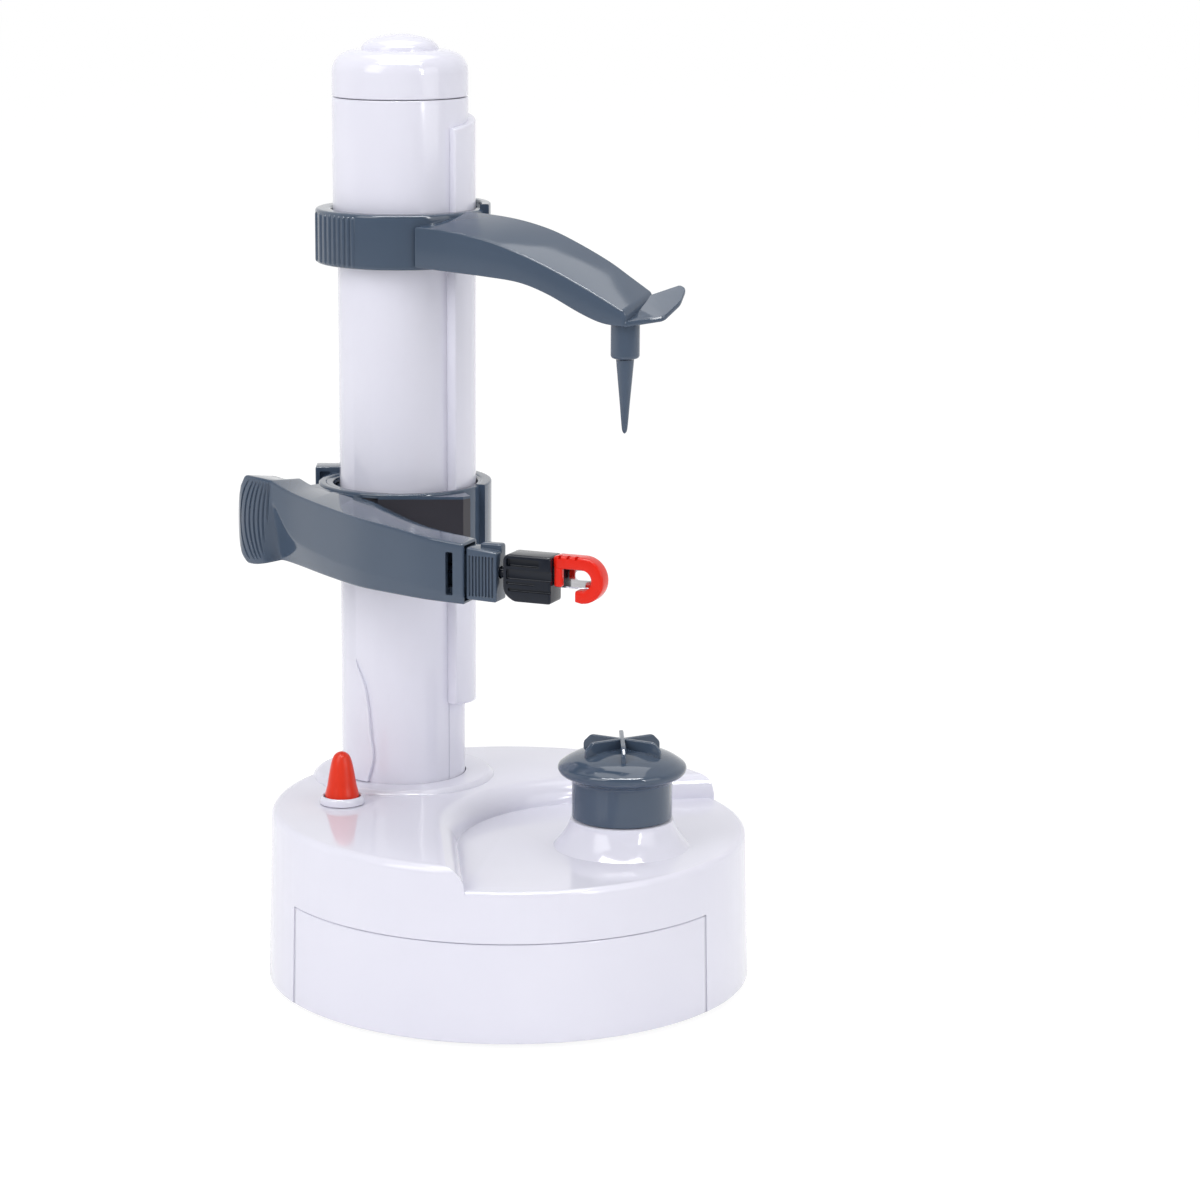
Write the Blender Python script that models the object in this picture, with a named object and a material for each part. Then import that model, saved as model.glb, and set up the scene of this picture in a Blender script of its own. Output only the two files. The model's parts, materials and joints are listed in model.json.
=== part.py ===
"""Battery-driven rotary potato peeler: base with gear train, column, peeling arm, food cup and spike."""

import math

import bmesh
import bpy
from mathutils import Matrix, Vector

for old_object in list(bpy.data.objects):
    bpy.data.objects.remove(old_object, do_unlink=True)

MM = 0.001

# Clearances and walls
WALL = 2.4 * MM
THIN_WALL = 1.4 * MM
GAP = 0.3 * MM
RUN = 0.4 * MM
OVERRUN = 3.0 * MM

# Base housing
BASE_X = 5.0 * MM
BASE_R = 73.8 * MM
BASE_DRAFT = 1.3 * MM
BASE_TOP = 54.0 * MM
BASE_EDGE_R = 2.6 * MM
FOOT_HEIGHT = 1.5 * MM
FOOT_R = 6.0 * MM
TRAY_FLOOR = 2.4 * MM
APRON_TOP = 31.3 * MM
APRON_FROM = math.radians(209.0)
APRON_TO = math.radians(323.0)
RECESS_DEPTH = 7.0 * MM
RECESS_R = 49.5 * MM
RECESS_FROM = math.radians(98.0)
RECESS_TO = math.radians(183.0)
RECESS_LENGTH = 110.0 * MM
HUB_CONE_R = 20.5 * MM
HUB_CONE_TOP_R = 15.5 * MM
HUB_CONE_HEIGHT = 8.5 * MM
PLINTH_R = 28.5 * MM
PLINTH_HEIGHT = 1.5 * MM
POST_R = 3.4 * MM
POST_SETBACK = 9.8 * MM
POST_ANGLES = tuple(math.radians(a) for a in (45.0, 160.0, 225.0, 285.0))
FOOT_SETBACK = 11.8 * MM
FOOT_PEG_R = 2.0 * MM
FOOT_ANGLES = tuple(math.radians(a) for a in (70.0, 130.0, 245.0, 312.0))
SCREW_HOLE_R = 1.3 * MM
SCREW_SHANK_R = 1.0 * MM
SCREW_HEAD_R = 2.8 * MM
SCREW_HEAD = 1.4 * MM
SCREW_LENGTH = 9.0 * MM

# Column, set from the middle of the base
COLUMN_BACK = 35.8 * MM
COLUMN_LEFT = 33.0 * MM
COLUMN_R = 19.4 * MM
COLUMN_STEP_R = 20.8 * MM
COLUMN_STEP_Z = 226.0 * MM
COLUMN_WALL = 2.2 * MM
COLUMN_TOP = 266.6 * MM
COLUMN_FLANGE_R = 20.9 * MM
COLUMN_FLANGE = 2.6 * MM
SPINE_R = 23.0 * MM
SPINE_HALF = math.radians(43.0)
SPINE_FROM_Z = 78.0 * MM
SPINE_TO_Z = 260.0 * MM
SPINE_SLANT = 4.0 * MM
RAMP_TOP_Z = 95.0 * MM
RAMP_RISE = 1.2 * MM
RAMP_FROM = math.radians(190.0)
RAMP_TO = math.radians(247.0)
RAMP_LEAD = math.radians(6.0)
SLOT_WIDTH = 6.4 * MM
SLOT_FROM_Z = 78.0 * MM
SLOT_TO_Z = 192.0 * MM
CAP_HEIGHT = 18.6 * MM
CAP_PLUG = 8.0 * MM
CAP_CROWN_SHARE = 0.645
CAP_BUTTON_SHARE = 0.57
CAP_SHOULDER_SHARE = 0.39
CAP_SEAT_SHARE = 0.75

# Turntable axis, set from the column axis
REACH_RIGHT = 67.0 * MM
REACH_FRONT = 57.9 * MM
SPINDLE_R = 3.0 * MM
CUP_R = 19.3 * MM
CUP_BODY_R = 15.05 * MM
CUP_BOTTOM = 56.0 * MM
CUP_RIM_Z = 71.3 * MM
CUP_FIN_TOP = 80.0 * MM
CUP_FIN_R = 13.0 * MM
CUP_FIN_THICK = 1.4 * MM
CUP_FINS = 6
CUP_FIN_TURN = math.radians(30.0)
CUP_NECK_SHARE = 0.72
CUP_DOME_SHARE = 1.38
CUP_FLARE_SHARES = (
    (0.85, 0.80), (0.975, 0.92), (1.0, 1.0), (0.985, 1.05), (0.94, 1.10), (0.70, 1.26), (0.36, 1.36),
)

# Power button, set from the column axis
BUTTON_LEFT = 18.0 * MM
BUTTON_FRONT = 36.0 * MM
BUTTON_R = 5.2 * MM
BUTTON_HEIGHT = 14.0 * MM
BUTTON_TRAVEL = 2.0 * MM
BEZEL_R = 6.8 * MM
BEZEL_HEIGHT = 2.6 * MM
SWITCH_SIDE = 11.0 * MM
SWITCH_HEIGHT = 8.0 * MM
BUTTON_STEM_R = 2.2 * MM
BUTTON_STEM = 4.0 * MM
BUTTON_SHARES = ((1.0, 0.0), (0.96, 0.12), (0.75, 0.29), (0.70, 0.68), (0.58, 0.89), (0.33, 0.98), (0.0, 1.0))

# Gear train: modules, teeth, levels
DRIVE_MODULE = 1.5 * MM
REDUCTION_MODULE = 1.0 * MM
TURNTABLE_TEETH = 30
SCREW_TEETH = 22
IDLER_TEETH = 36
OUTPUT_PINION_TEETH = 12
MIDDLE_WHEEL_TEETH = 36
MIDDLE_PINION_TEETH = 10
FIRST_WHEEL_TEETH = 40
MOTOR_PINION_TEETH = 10
TOOTH_SHARE = 0.40
DEDENDUM_SHARE = 1.25
PRESSURE_ANGLE = math.radians(20.0)
GEAR_FACE = 4.4 * MM
LEVEL_GAP = 1.2 * MM
PLATE_Z = 20.6 * MM
PLATE_THICK = 2.0 * MM
PLATE_MARGIN = 15.0 * MM
PILLAR_R = 2.8 * MM
AXLE_R = 1.5 * MM
HUB_WALL = 2.6 * MM
MIDDLE_ANGLE = math.radians(-100.0)

# Motor and cells
MOTOR_R = 10.2 * MM
MOTOR_LENGTH = 24.6 * MM
MOTOR_SHAFT_R = 1.0 * MM
MOTOR_SPAN = 37.9 * MM
MOTOR_ANGLE = math.radians(150.7)
MOTOR_BOSS_SHARE = 0.33
MOTOR_FLAT_SHARE = 0.86
CLIP_TURN = math.radians(120.0)
CELL_R = 7.1 * MM
CELL_LENGTH = 48.0 * MM
CELL_BUTTON_R = 2.7 * MM
CELL_BUTTON = 1.6 * MM
CELL_PITCH = 14.8 * MM
CELLS = 4
BAY_RIGHT = 24.5 * MM
CONTACT_THICK = 0.5 * MM
DOOR_GRIPS = 5

# Lead screw and its carriage
SCREW_R = 4.0 * MM
SCREW_TOP = 252.0 * MM
BUSH_HEIGHT = 5.0 * MM
SCREW_NECK_SHARE = 0.6
CARRIAGE_FROM_Z = 129.0 * MM
CARRIAGE_TO_Z = 145.8 * MM
CARRIAGE_HALF_GAP = math.radians(52.0)
NUT_WALL = 4.2 * MM
NUT_HEIGHT = 12.0 * MM

# Peeling arm
COLLAR_FROM_Z = 127.0 * MM
COLLAR_TO_Z = 148.2 * MM
COLLAR_WALL = 2.5 * MM
COLLAR_BACK_WALL = 1.9 * MM
ARM_TIP_X = 21.6 * MM
ARM_TIP_Y = -74.2 * MM
ARM_TIP_ANGLE = math.radians(-24.0)
ARM_TIP_WIDTH = 10.0 * MM
ARM_SPAN_SHARE = 0.7764
ARM_LOW_Z = 125.4 * MM
ARM_DEPTH = 20.0 * MM
ARM_END_SHARE = 0.945
BEVEL_SHARE = 0.12
BLADE_AXIS_Z = 134.8 * MM
BACK_WALL_ANGLES = (math.radians(-22.0), math.radians(48.0))
LUG_RISE = 3.6 * MM
LUG_SIDE = 8.0 * MM
LUG_ANGLE = math.radians(147.0)
LUG_DROP_SHARE = 0.45
WEB_ANGLES = tuple(math.radians(a) for a in (250.0, 222.0, 195.0))
WEB_ROW_SHARES = (0.4815, 0.5556, 0.6296)
PLATE_ANGLES = tuple(math.radians(a) for a in (-40.0, -65.0, -95.0))
PLATE_SHARES = ((-0.25, -1.0), (0.72, -1.0), (0.80, -0.92))
LIP_ANGLES = (math.radians(100.0), math.radians(260.0))
GRIP_RIBS = 6

# Blade group, along the arm's tip direction
LATCH_LENGTH = 10.0 * MM
LATCH_HEIGHT = 15.8 * MM
LATCH_THICK = 7.0 * MM
TAIL_LENGTH = 6.0 * MM
TAIL_HEIGHT = 10.0 * MM
TAIL_THICK = 4.4 * MM
ROD_SEAT = 7.0 * MM
LATCH_TRAVEL = 3.0 * MM
LATCH_GROOVES = 8
ROD_R = 1.5 * MM
HEAD_START = 12.3 * MM
HEAD_LENGTH = 15.0 * MM
HEAD_HEIGHT = 14.4 * MM
HEAD_THICK = 8.4 * MM
HEAD_GROOVE_SHARES = ((0.40, 0.72), (-0.02, 0.20), (-0.46, -0.24))
HEAD_CORNER_SHARE = 1.6
GUARD_LENGTH = 15.6 * MM
GUARD_HEIGHT = 14.4 * MM
GUARD_THICK = 5.0 * MM
GUARD_BAND = 3.8 * MM
BLADE_THICK = 0.6 * MM
BLADE_HEIGHT = 8.0 * MM
BLADE_BOW = 6.0 * MM
RIVET_R = 1.1 * MM
RIVET_HEAD_SHARE = 1.8
RIVET_SETBACK = 5.0 * MM

# Upper arm and spike
RING_FROM_Z = 216.4 * MM
RING_TO_Z = 233.0 * MM
RING_WALL = 5.0 * MM
RING_GRIPS = 9
RING_GRIP = 0.9 * MM
RING_GRIP_FROM = math.radians(176.0)
RING_GRIP_PITCH = math.radians(8.0)
RING_GRIP_HALF = math.radians(2.2)
RING_BACK_ANGLES = (math.radians(-12.0), math.radians(50.0))
UPPER_SPAN_SHARE = 0.847
UPPER_DEPTH = 16.6 * MM
SOCKET_R = 4.3 * MM
SOCKET_LENGTH = 10.2 * MM
TAB_THICK = 1.8 * MM
SPIKE_R = 2.7 * MM
SPIKE_LENGTH = 22.0 * MM
SPIKE_SHAFT_R = 1.7 * MM
SPIKE_SHAFT = 9.0 * MM
SPIKE_SHARES = ((0.0, 1.0), (0.30, 0.94), (0.54, 0.62), (1.0, 0.0))
SOCKET_BOTTOM = 194.5 * MM

# Fineness of round shapes
FINE = 32
MEDIUM = 20
COARSE = 14
ROUGH = 10
BACK_STEPS = 8
LIP_STEPS = 16
APRON_STEPS = 16
SPINE_STEPS = 10
KEY_STEPS = 10
OPEN_RING_STEPS = 32

BASE_CENTRE = Vector((BASE_X, 0.0))
COLUMN = BASE_CENTRE + Vector((-COLUMN_LEFT, COLUMN_BACK))
TURNTABLE = COLUMN + Vector((REACH_RIGHT, -REACH_FRONT))
BUTTON = COLUMN + Vector((-BUTTON_LEFT, -BUTTON_FRONT))
REACH = (TURNTABLE - COLUMN).length
REACH_ALONG = (TURNTABLE - COLUMN).normalized()
REACH_ACROSS = Vector((-REACH_ALONG.y, REACH_ALONG.x))
UPPER_SPAN = REACH * UPPER_SPAN_SHARE
TIP = Vector((ARM_TIP_X, ARM_TIP_Y))
ARM_SPAN = TIP.length * ARM_SPAN_SHARE
TIP_ALONG = Vector((math.cos(ARM_TIP_ANGLE), math.sin(ARM_TIP_ANGLE)))
TIP_FRONT = Vector((math.sin(ARM_TIP_ANGLE), -math.cos(ARM_TIP_ANGLE)))


# Shapes

def polar(radius, angle, z=0.0):
    return Vector((radius * math.cos(angle), radius * math.sin(angle), z))


def loft(sections):
    """A closed skin over sections that have the same number of points."""
    mesh = bmesh.new()
    rows = [[mesh.verts.new(point) for point in section] for section in sections]
    count = len(rows[0])
    for low, high in zip(rows, rows[1:]):
        for i in range(count):
            j = (i + 1) % count
            mesh.faces.new((low[i], low[j], high[j], high[i]))
    mesh.faces.new(reversed(rows[0]))
    mesh.faces.new(rows[-1])
    if len(sections) > 2:
        bmesh.ops.triangulate(mesh, faces=mesh.faces)
    bmesh.ops.recalc_face_normals(mesh, faces=mesh.faces)
    return mesh


def prism(outline, low, high):
    """An outline of (x, y) points, raised from low to high."""
    return loft([[Vector((p[0], p[1], z)) for p in outline] for z in (low, high)])


def turned(profile, steps=MEDIUM):
    """A profile of (radius, z) points turned about the upright axis."""
    mesh = bmesh.new()
    rows = []
    for radius, z in profile:
        count = steps if radius > 0 else 1
        row = [polar(radius, math.tau * i / steps, z) for i in range(count)]
        rows.append([mesh.verts.new(p) for p in row])
    pairs = list(zip(rows, rows[1:]))
    if profile[0][0] > 0:
        pairs.append((rows[-1], rows[0]))
    for a, b in pairs:
        for i in range(steps):
            j = (i + 1) % steps
            if len(a) == 1:
                mesh.faces.new((a[0], b[j], b[i]))
            elif len(b) == 1:
                mesh.faces.new((a[i], a[j], b[0]))
            else:
                mesh.faces.new((a[i], a[j], b[j], b[i]))
    bmesh.ops.recalc_face_normals(mesh, faces=mesh.faces)
    return mesh


def cylinder(radius, low, high, steps=COARSE):
    return turned([(0.0, low), (radius, low), (radius, high), (0.0, high)], steps)


def sector(angle_from, angle_to, steps, profile_at):
    """A profile swept part of the way round; profile_at(angle) gives its (radius, z) points."""
    sections = []
    for i in range(steps + 1):
        angle = angle_from + (angle_to - angle_from) * i / steps
        sections.append([polar(radius, angle, z) for radius, z in profile_at(angle)])
    return loft(sections)


def block(x_from, x_to, y_from, y_to, z_from, z_to):
    corners = ((x_from, y_from), (x_to, y_from), (x_to, y_to), (x_from, y_to))
    return prism(corners, z_from, z_to)


def turn_mesh(mesh, angle, axis):
    turn = Matrix.Rotation(angle, 3, axis)
    bmesh.ops.rotate(mesh, verts=mesh.verts, cent=(0.0, 0.0, 0.0), matrix=turn)


def arc(centre, radius, angle_from, angle_to, steps):
    turns = (angle_to - angle_from) / steps
    return [
        (centre[0] + radius * math.cos(angle), centre[1] + radius * math.sin(angle))
        for angle in (angle_from + turns * i for i in range(steps + 1))
    ]


def smooth_rows(rows, parts):
    """Catmull-Rom rows between the given rows of numbers."""
    result = []
    for k in range(len(rows) - 1):
        before = rows[max(k - 1, 0)]
        after = rows[min(k + 2, len(rows) - 1)]
        for step in range(parts):
            t = step / parts
            row = []
            for a, b, c, d in zip(before, rows[k], rows[k + 1], after):
                bend = 2 * a - 5 * b + 4 * c - d
                row.append((2 * b + (c - a) * t + bend * t * t + (3 * b - a - 3 * c + d) * t ** 3) / 2)
            result.append(row)
    result.append(list(rows[-1]))
    return result


# Objects, materials and moving groups

def material(name, colour, roughness, metallic=0.0):
    made = bpy.data.materials.new(name)
    made.use_nodes = True
    shader = made.node_tree.nodes["Principled BSDF"]
    shader.inputs["Base Color"].default_value = (*colour, 1.0)
    shader.inputs["Roughness"].default_value = roughness
    shader.inputs["Metallic"].default_value = metallic
    made.diffuse_color = (*colour, 1.0)
    return made


WHITE = material("white_plastic", (0.80, 0.79, 0.86), 0.22)
SLATE = material("slate_plastic", (0.085, 0.125, 0.17), 0.25)
BLACK = material("black_plastic", (0.015, 0.018, 0.025), 0.35)
RED = material("red_plastic", (0.75, 0.035, 0.015), 0.28)
RED_RUBBER = material("red_rubber", (0.76, 0.06, 0.02), 0.5)
STEEL = material("steel", (0.62, 0.62, 0.63), 0.2, 1.0)
BLADE_STEEL = material("blade_steel", (0.72, 0.72, 0.74), 0.1, 1.0)
BRASS = material("brass", (0.72, 0.52, 0.22), 0.3, 1.0)
NYLON = material("nylon", (0.82, 0.80, 0.70), 0.45)
RUBBER = material("rubber", (0.03, 0.03, 0.035), 0.8)
CELL_JACKET = material("cell_jacket", (0.10, 0.11, 0.12), 0.4)


def piece(name, mesh, finish, at=(0.0, 0.0), moving=None):
    """One named solid whose mesh is drawn round the upright axis at the given place."""
    data = bpy.data.meshes.new(name)
    mesh.to_mesh(data)
    mesh.free()
    data.materials.append(finish)
    data.shade_smooth()
    data.set_sharp_from_angle(angle=math.radians(35.0))
    made = bpy.data.objects.new(name, data)
    made.location = (at[0], at[1], 0.0)
    bpy.context.scene.collection.objects.link(made)
    if moving:
        made.parent = moving
        made.matrix_parent_inverse = Matrix.Translation(moving.location).inverted()
    return made


def combine(target, mesh, operation, at=None):
    """Adds or cuts a shape; a shape without a place of its own is drawn round the target's axis."""
    place = target.location if at is None else at
    name = f"{operation.lower()}_{target.name}_{len(target.modifiers)}"
    tool = piece(name, mesh, target.data.materials[0], place)
    tool.hide_render = True
    tool.display_type = "WIRE"
    modifier = target.modifiers.new(tool.name, "BOOLEAN")
    modifier.operation = operation
    modifier.solver = "EXACT"
    modifier.use_hole_tolerant = True
    modifier.object = tool
    return tool


def join(target, mesh, at=None):
    return combine(target, mesh, "UNION", at)


def cut(target, mesh, at=None):
    return combine(target, mesh, "DIFFERENCE", at)


def axis_point(name, at, z=0.0, parent=None):
    """An empty on a joint's axis, which the pieces of one moving group hang from."""
    made = bpy.data.objects.new(name, None)
    made.location = (at[0], at[1], z)
    bpy.context.scene.collection.objects.link(made)
    if parent:
        made.parent = parent
        made.matrix_parent_inverse = Matrix.Translation(parent.location).inverted()
    return made


# Heights and radii that several pieces share

PLATEAU_UNDER = BASE_TOP - WALL
RECESS_FLOOR = BASE_TOP - RECESS_DEPTH
TRAY_TOP = FOOT_HEIGHT + TRAY_FLOOR
PLATE_TOP = PLATE_Z + PLATE_THICK
LOW_LEVEL = PLATE_Z - LEVEL_GAP - GEAR_FACE
MIDDLE_LEVEL = PLATE_TOP + LEVEL_GAP
TOP_LEVEL = MIDDLE_LEVEL + GEAR_FACE + LEVEL_GAP
GEAR_TOP = TOP_LEVEL + GEAR_FACE
HUB_TOP = GEAR_TOP + LEVEL_GAP
HUB_LOW = PLATE_TOP + RUN
CONE_TOP = RECESS_FLOOR + HUB_CONE_HEIGHT
PLINTH_TOP = BASE_TOP + PLINTH_HEIGHT
TRAY_R = BASE_R - BASE_DRAFT - WALL - GAP
POST_REACH = BASE_R - POST_SETBACK
FOOT_REACH = BASE_R - FOOT_SETBACK
COLLAR_BORE = SPINE_R + RUN
CAP_SKIRT_R = COLUMN_R - COLUMN_WALL / 2
CUP_BODY_TOP = CUP_BOTTOM + (CUP_RIM_Z - CUP_BOTTOM) * CUP_NECK_SHARE


def shell_radius(z):
    return BASE_R - BASE_DRAFT * z / BASE_TOP


def third_corner(first, second, to_first, to_second, side):
    """The corner of a triangle over two shafts, on the left of first to second where side is 1."""
    span = second - first
    along = (to_first ** 2 - to_second ** 2 + span.length_squared) / (2 * span.length)
    off = math.sqrt(to_first ** 2 - along ** 2)
    across = Vector((-span.y, span.x)).normalized()
    return first + span.normalized() * along + across * off * side


def centre_distance(module, teeth, other_teeth):
    return module * (teeth + other_teeth) / 2


IDLER = third_corner(
    TURNTABLE,
    COLUMN,
    centre_distance(DRIVE_MODULE, TURNTABLE_TEETH, IDLER_TEETH),
    centre_distance(DRIVE_MODULE, SCREW_TEETH, IDLER_TEETH),
    1,
)
MIDDLE = IDLER + polar(centre_distance(DRIVE_MODULE, IDLER_TEETH, OUTPUT_PINION_TEETH), MIDDLE_ANGLE).to_2d()
MOTOR = MIDDLE + polar(MOTOR_SPAN, MOTOR_ANGLE).to_2d()
FIRST = third_corner(
    MIDDLE,
    MOTOR,
    centre_distance(REDUCTION_MODULE, MIDDLE_WHEEL_TEETH, MIDDLE_PINION_TEETH),
    centre_distance(REDUCTION_MODULE, FIRST_WHEEL_TEETH, MOTOR_PINION_TEETH),
    -1,
)
BAY = BASE_CENTRE + Vector((BAY_RIGHT, 0.0))


# Gears

def involute(angle):
    return math.tan(angle) - angle


def gear_outline(module, teeth, phase, flank_points=3):
    pitch_r = module * teeth / 2
    root_r = pitch_r - DEDENDUM_SHARE * module
    tip_r = pitch_r + module
    base_r = pitch_r * math.cos(PRESSURE_ANGLE)
    half_pitch = TOOTH_SHARE * math.pi / teeth
    flank = []
    for k in range(flank_points):
        radius = root_r + (tip_r - root_r) * k / (flank_points - 1)
        roll = math.acos(min(1.0, base_r / radius))
        flank.append((radius, half_pitch + involute(PRESSURE_ANGLE) - involute(roll)))
    outline = []
    for tooth in range(teeth):
        middle = phase + math.tau * tooth / teeth
        outline += [polar(radius, middle - half) for radius, half in flank]
        outline += [polar(radius, middle + half) for radius, half in reversed(flank)]
    return outline


def meshed_phase(centre, teeth, phase, other_centre, other_teeth):
    """The phase that puts the other gear's gap where this gear's tooth crosses the line of centres."""
    line = other_centre - centre
    bearing = math.atan2(line.y, line.x)
    offset = (bearing - phase) * teeth / math.tau
    return bearing + math.pi - math.tau / other_teeth * (0.5 - offset)


TURNTABLE_PHASE = 0.0
IDLER_PHASE = meshed_phase(TURNTABLE, TURNTABLE_TEETH, TURNTABLE_PHASE, IDLER, IDLER_TEETH)
SCREW_PHASE = meshed_phase(IDLER, IDLER_TEETH, IDLER_PHASE, COLUMN, SCREW_TEETH)
MIDDLE_PHASE = meshed_phase(IDLER, IDLER_TEETH, IDLER_PHASE, MIDDLE, OUTPUT_PINION_TEETH)
FIRST_PHASE = meshed_phase(MIDDLE, MIDDLE_WHEEL_TEETH, MIDDLE_PHASE, FIRST, MIDDLE_PINION_TEETH)
MOTOR_PHASE = meshed_phase(FIRST, FIRST_WHEEL_TEETH, FIRST_PHASE, MOTOR, MOTOR_PINION_TEETH)


def gear(name, at, stages, hub_low, hub_high, shaft_r, play, moving, finish=NYLON):
    """One moulded gear: a hub with a bore for its shaft, and toothed wheels given as (outline, low, high)."""
    bore_r = shaft_r + play
    made = piece(name, cylinder(bore_r + HUB_WALL, hub_low, hub_high), finish, at, moving)
    for outline, low, high in stages:
        join(made, prism(outline, low, high))
    top = max([hub_high] + [high for outline, low, high in stages])
    cut(made, cylinder(bore_r, hub_low - OVERRUN, top + OVERRUN))


# Base housing

def recess_outline(radius):
    """The bowl round the turntable, open towards the front and the right edge of the base."""
    bowl = arc((0.0, 0.0), radius, RECESS_FROM, RECESS_TO, 10)
    right = (
        bowl[0][0] + RECESS_LENGTH * math.sin(RECESS_FROM),
        bowl[0][1] - RECESS_LENGTH * math.cos(RECESS_FROM),
    )
    front = (
        bowl[-1][0] - RECESS_LENGTH * math.sin(RECESS_TO),
        bowl[-1][1] + RECESS_LENGTH * math.cos(RECESS_TO),
    )
    return [right] + bowl + [front, (right[0], front[1])]


def recess(floor, margin):
    sections = [[Vector((x, y, floor)) for x, y in recess_outline(RECESS_R + margin)]]
    steps = 3
    for i in range(1, steps + 1):
        rise = RECESS_DEPTH * math.sin(math.pi / 2 * i / steps)
        spread = RECESS_DEPTH * (1 - math.cos(math.pi / 2 * i / steps))
        sections.append(
            [Vector((x, y, RECESS_FLOOR + rise)) for x, y in recess_outline(RECESS_R + margin + spread)]
        )
    sections.append([Vector((p.x, p.y, BASE_TOP + OVERRUN)) for p in sections[-1]])
    return loft(sections)


def base_upper_shell():
    rim = shell_radius(BASE_TOP)
    edge = arc((rim - BASE_EDGE_R, BASE_TOP - BASE_EDGE_R), BASE_EDGE_R, 0.0, math.pi / 2, 4)
    profile = [(0.0, FOOT_HEIGHT), (shell_radius(0.0), FOOT_HEIGHT), *edge, (0.0, BASE_TOP)]
    shell = piece("base_upper_shell", turned(profile, FINE), WHITE, BASE_CENTRE)
    cut(shell, recess(RECESS_FLOOR, 0.0), TURNTABLE)
    cone_foot = RECESS_FLOOR - WALL / 2
    join(
        shell,
        turned([(0.0, cone_foot), (HUB_CONE_R, cone_foot), (HUB_CONE_R, RECESS_FLOOR),
                (HUB_CONE_TOP_R, CONE_TOP), (0.0, CONE_TOP)], MEDIUM),
        TURNTABLE,
    )
    plinth = join(
        shell,
        turned([(0.0, BASE_TOP - WALL / 2), (PLINTH_R, BASE_TOP - WALL / 2), (PLINTH_R, BASE_TOP),
                (PLINTH_R - PLINTH_HEIGHT, PLINTH_TOP), (0.0, PLINTH_TOP)], MEDIUM),
        COLUMN,
    )
    combine(plinth, cylinder(rim - BASE_EDGE_R, 0.0, PLINTH_TOP + OVERRUN, FINE), "INTERSECT", BASE_CENTRE)
    inner = [
        (0.0, -OVERRUN), (shell_radius(0.0) - WALL, -OVERRUN),
        (rim - WALL, PLATEAU_UNDER), (0.0, PLATEAU_UNDER),
    ]
    cavity = cut(shell, turned(inner, FINE))
    cut(cavity, recess(RECESS_FLOOR - WALL, WALL), TURNTABLE)
    side = GAP / BASE_R
    cut(
        shell,
        sector(APRON_FROM - side, APRON_TO + side, APRON_STEPS, lambda angle: (
            (BASE_R - WALL - BASE_DRAFT - WALL, -OVERRUN), (BASE_R + OVERRUN, -OVERRUN),
            (BASE_R + OVERRUN, APRON_TOP + GAP), (BASE_R - WALL - BASE_DRAFT - WALL, APRON_TOP + GAP))),
    )
    cut(
        shell,
        turned([(0.0, cone_foot - WALL), (HUB_CONE_R - WALL, cone_foot - WALL),
                (HUB_CONE_TOP_R - WALL, CONE_TOP - WALL), (0.0, CONE_TOP - WALL)], MEDIUM),
        TURNTABLE,
    )
    cut(shell, cylinder(SPINDLE_R + RUN, RECESS_FLOOR - OVERRUN, CONE_TOP + OVERRUN), TURNTABLE)
    cut(shell, cylinder(COLUMN_R + GAP, PLATEAU_UNDER - OVERRUN, PLINTH_TOP + OVERRUN, FINE), COLUMN)
    cut(shell, cylinder(BUTTON_STEM_R + RUN, PLATEAU_UNDER - OVERRUN, BASE_TOP + OVERRUN), BUTTON)
    for angle in POST_ANGLES:
        spot = BASE_CENTRE + polar(POST_REACH, angle).to_2d()
        under_recess = spot.x > TURNTABLE.x - RECESS_R and spot.y < TURNTABLE.y + RECESS_R
        top = (RECESS_FLOOR if under_recess else BASE_TOP) - WALL / 2
        join(shell, cylinder(POST_R, TRAY_TOP + GAP, top), spot)
        cut(shell, cylinder(SCREW_HOLE_R, 0.0, TRAY_TOP + SCREW_LENGTH, ROUGH), spot)


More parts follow.
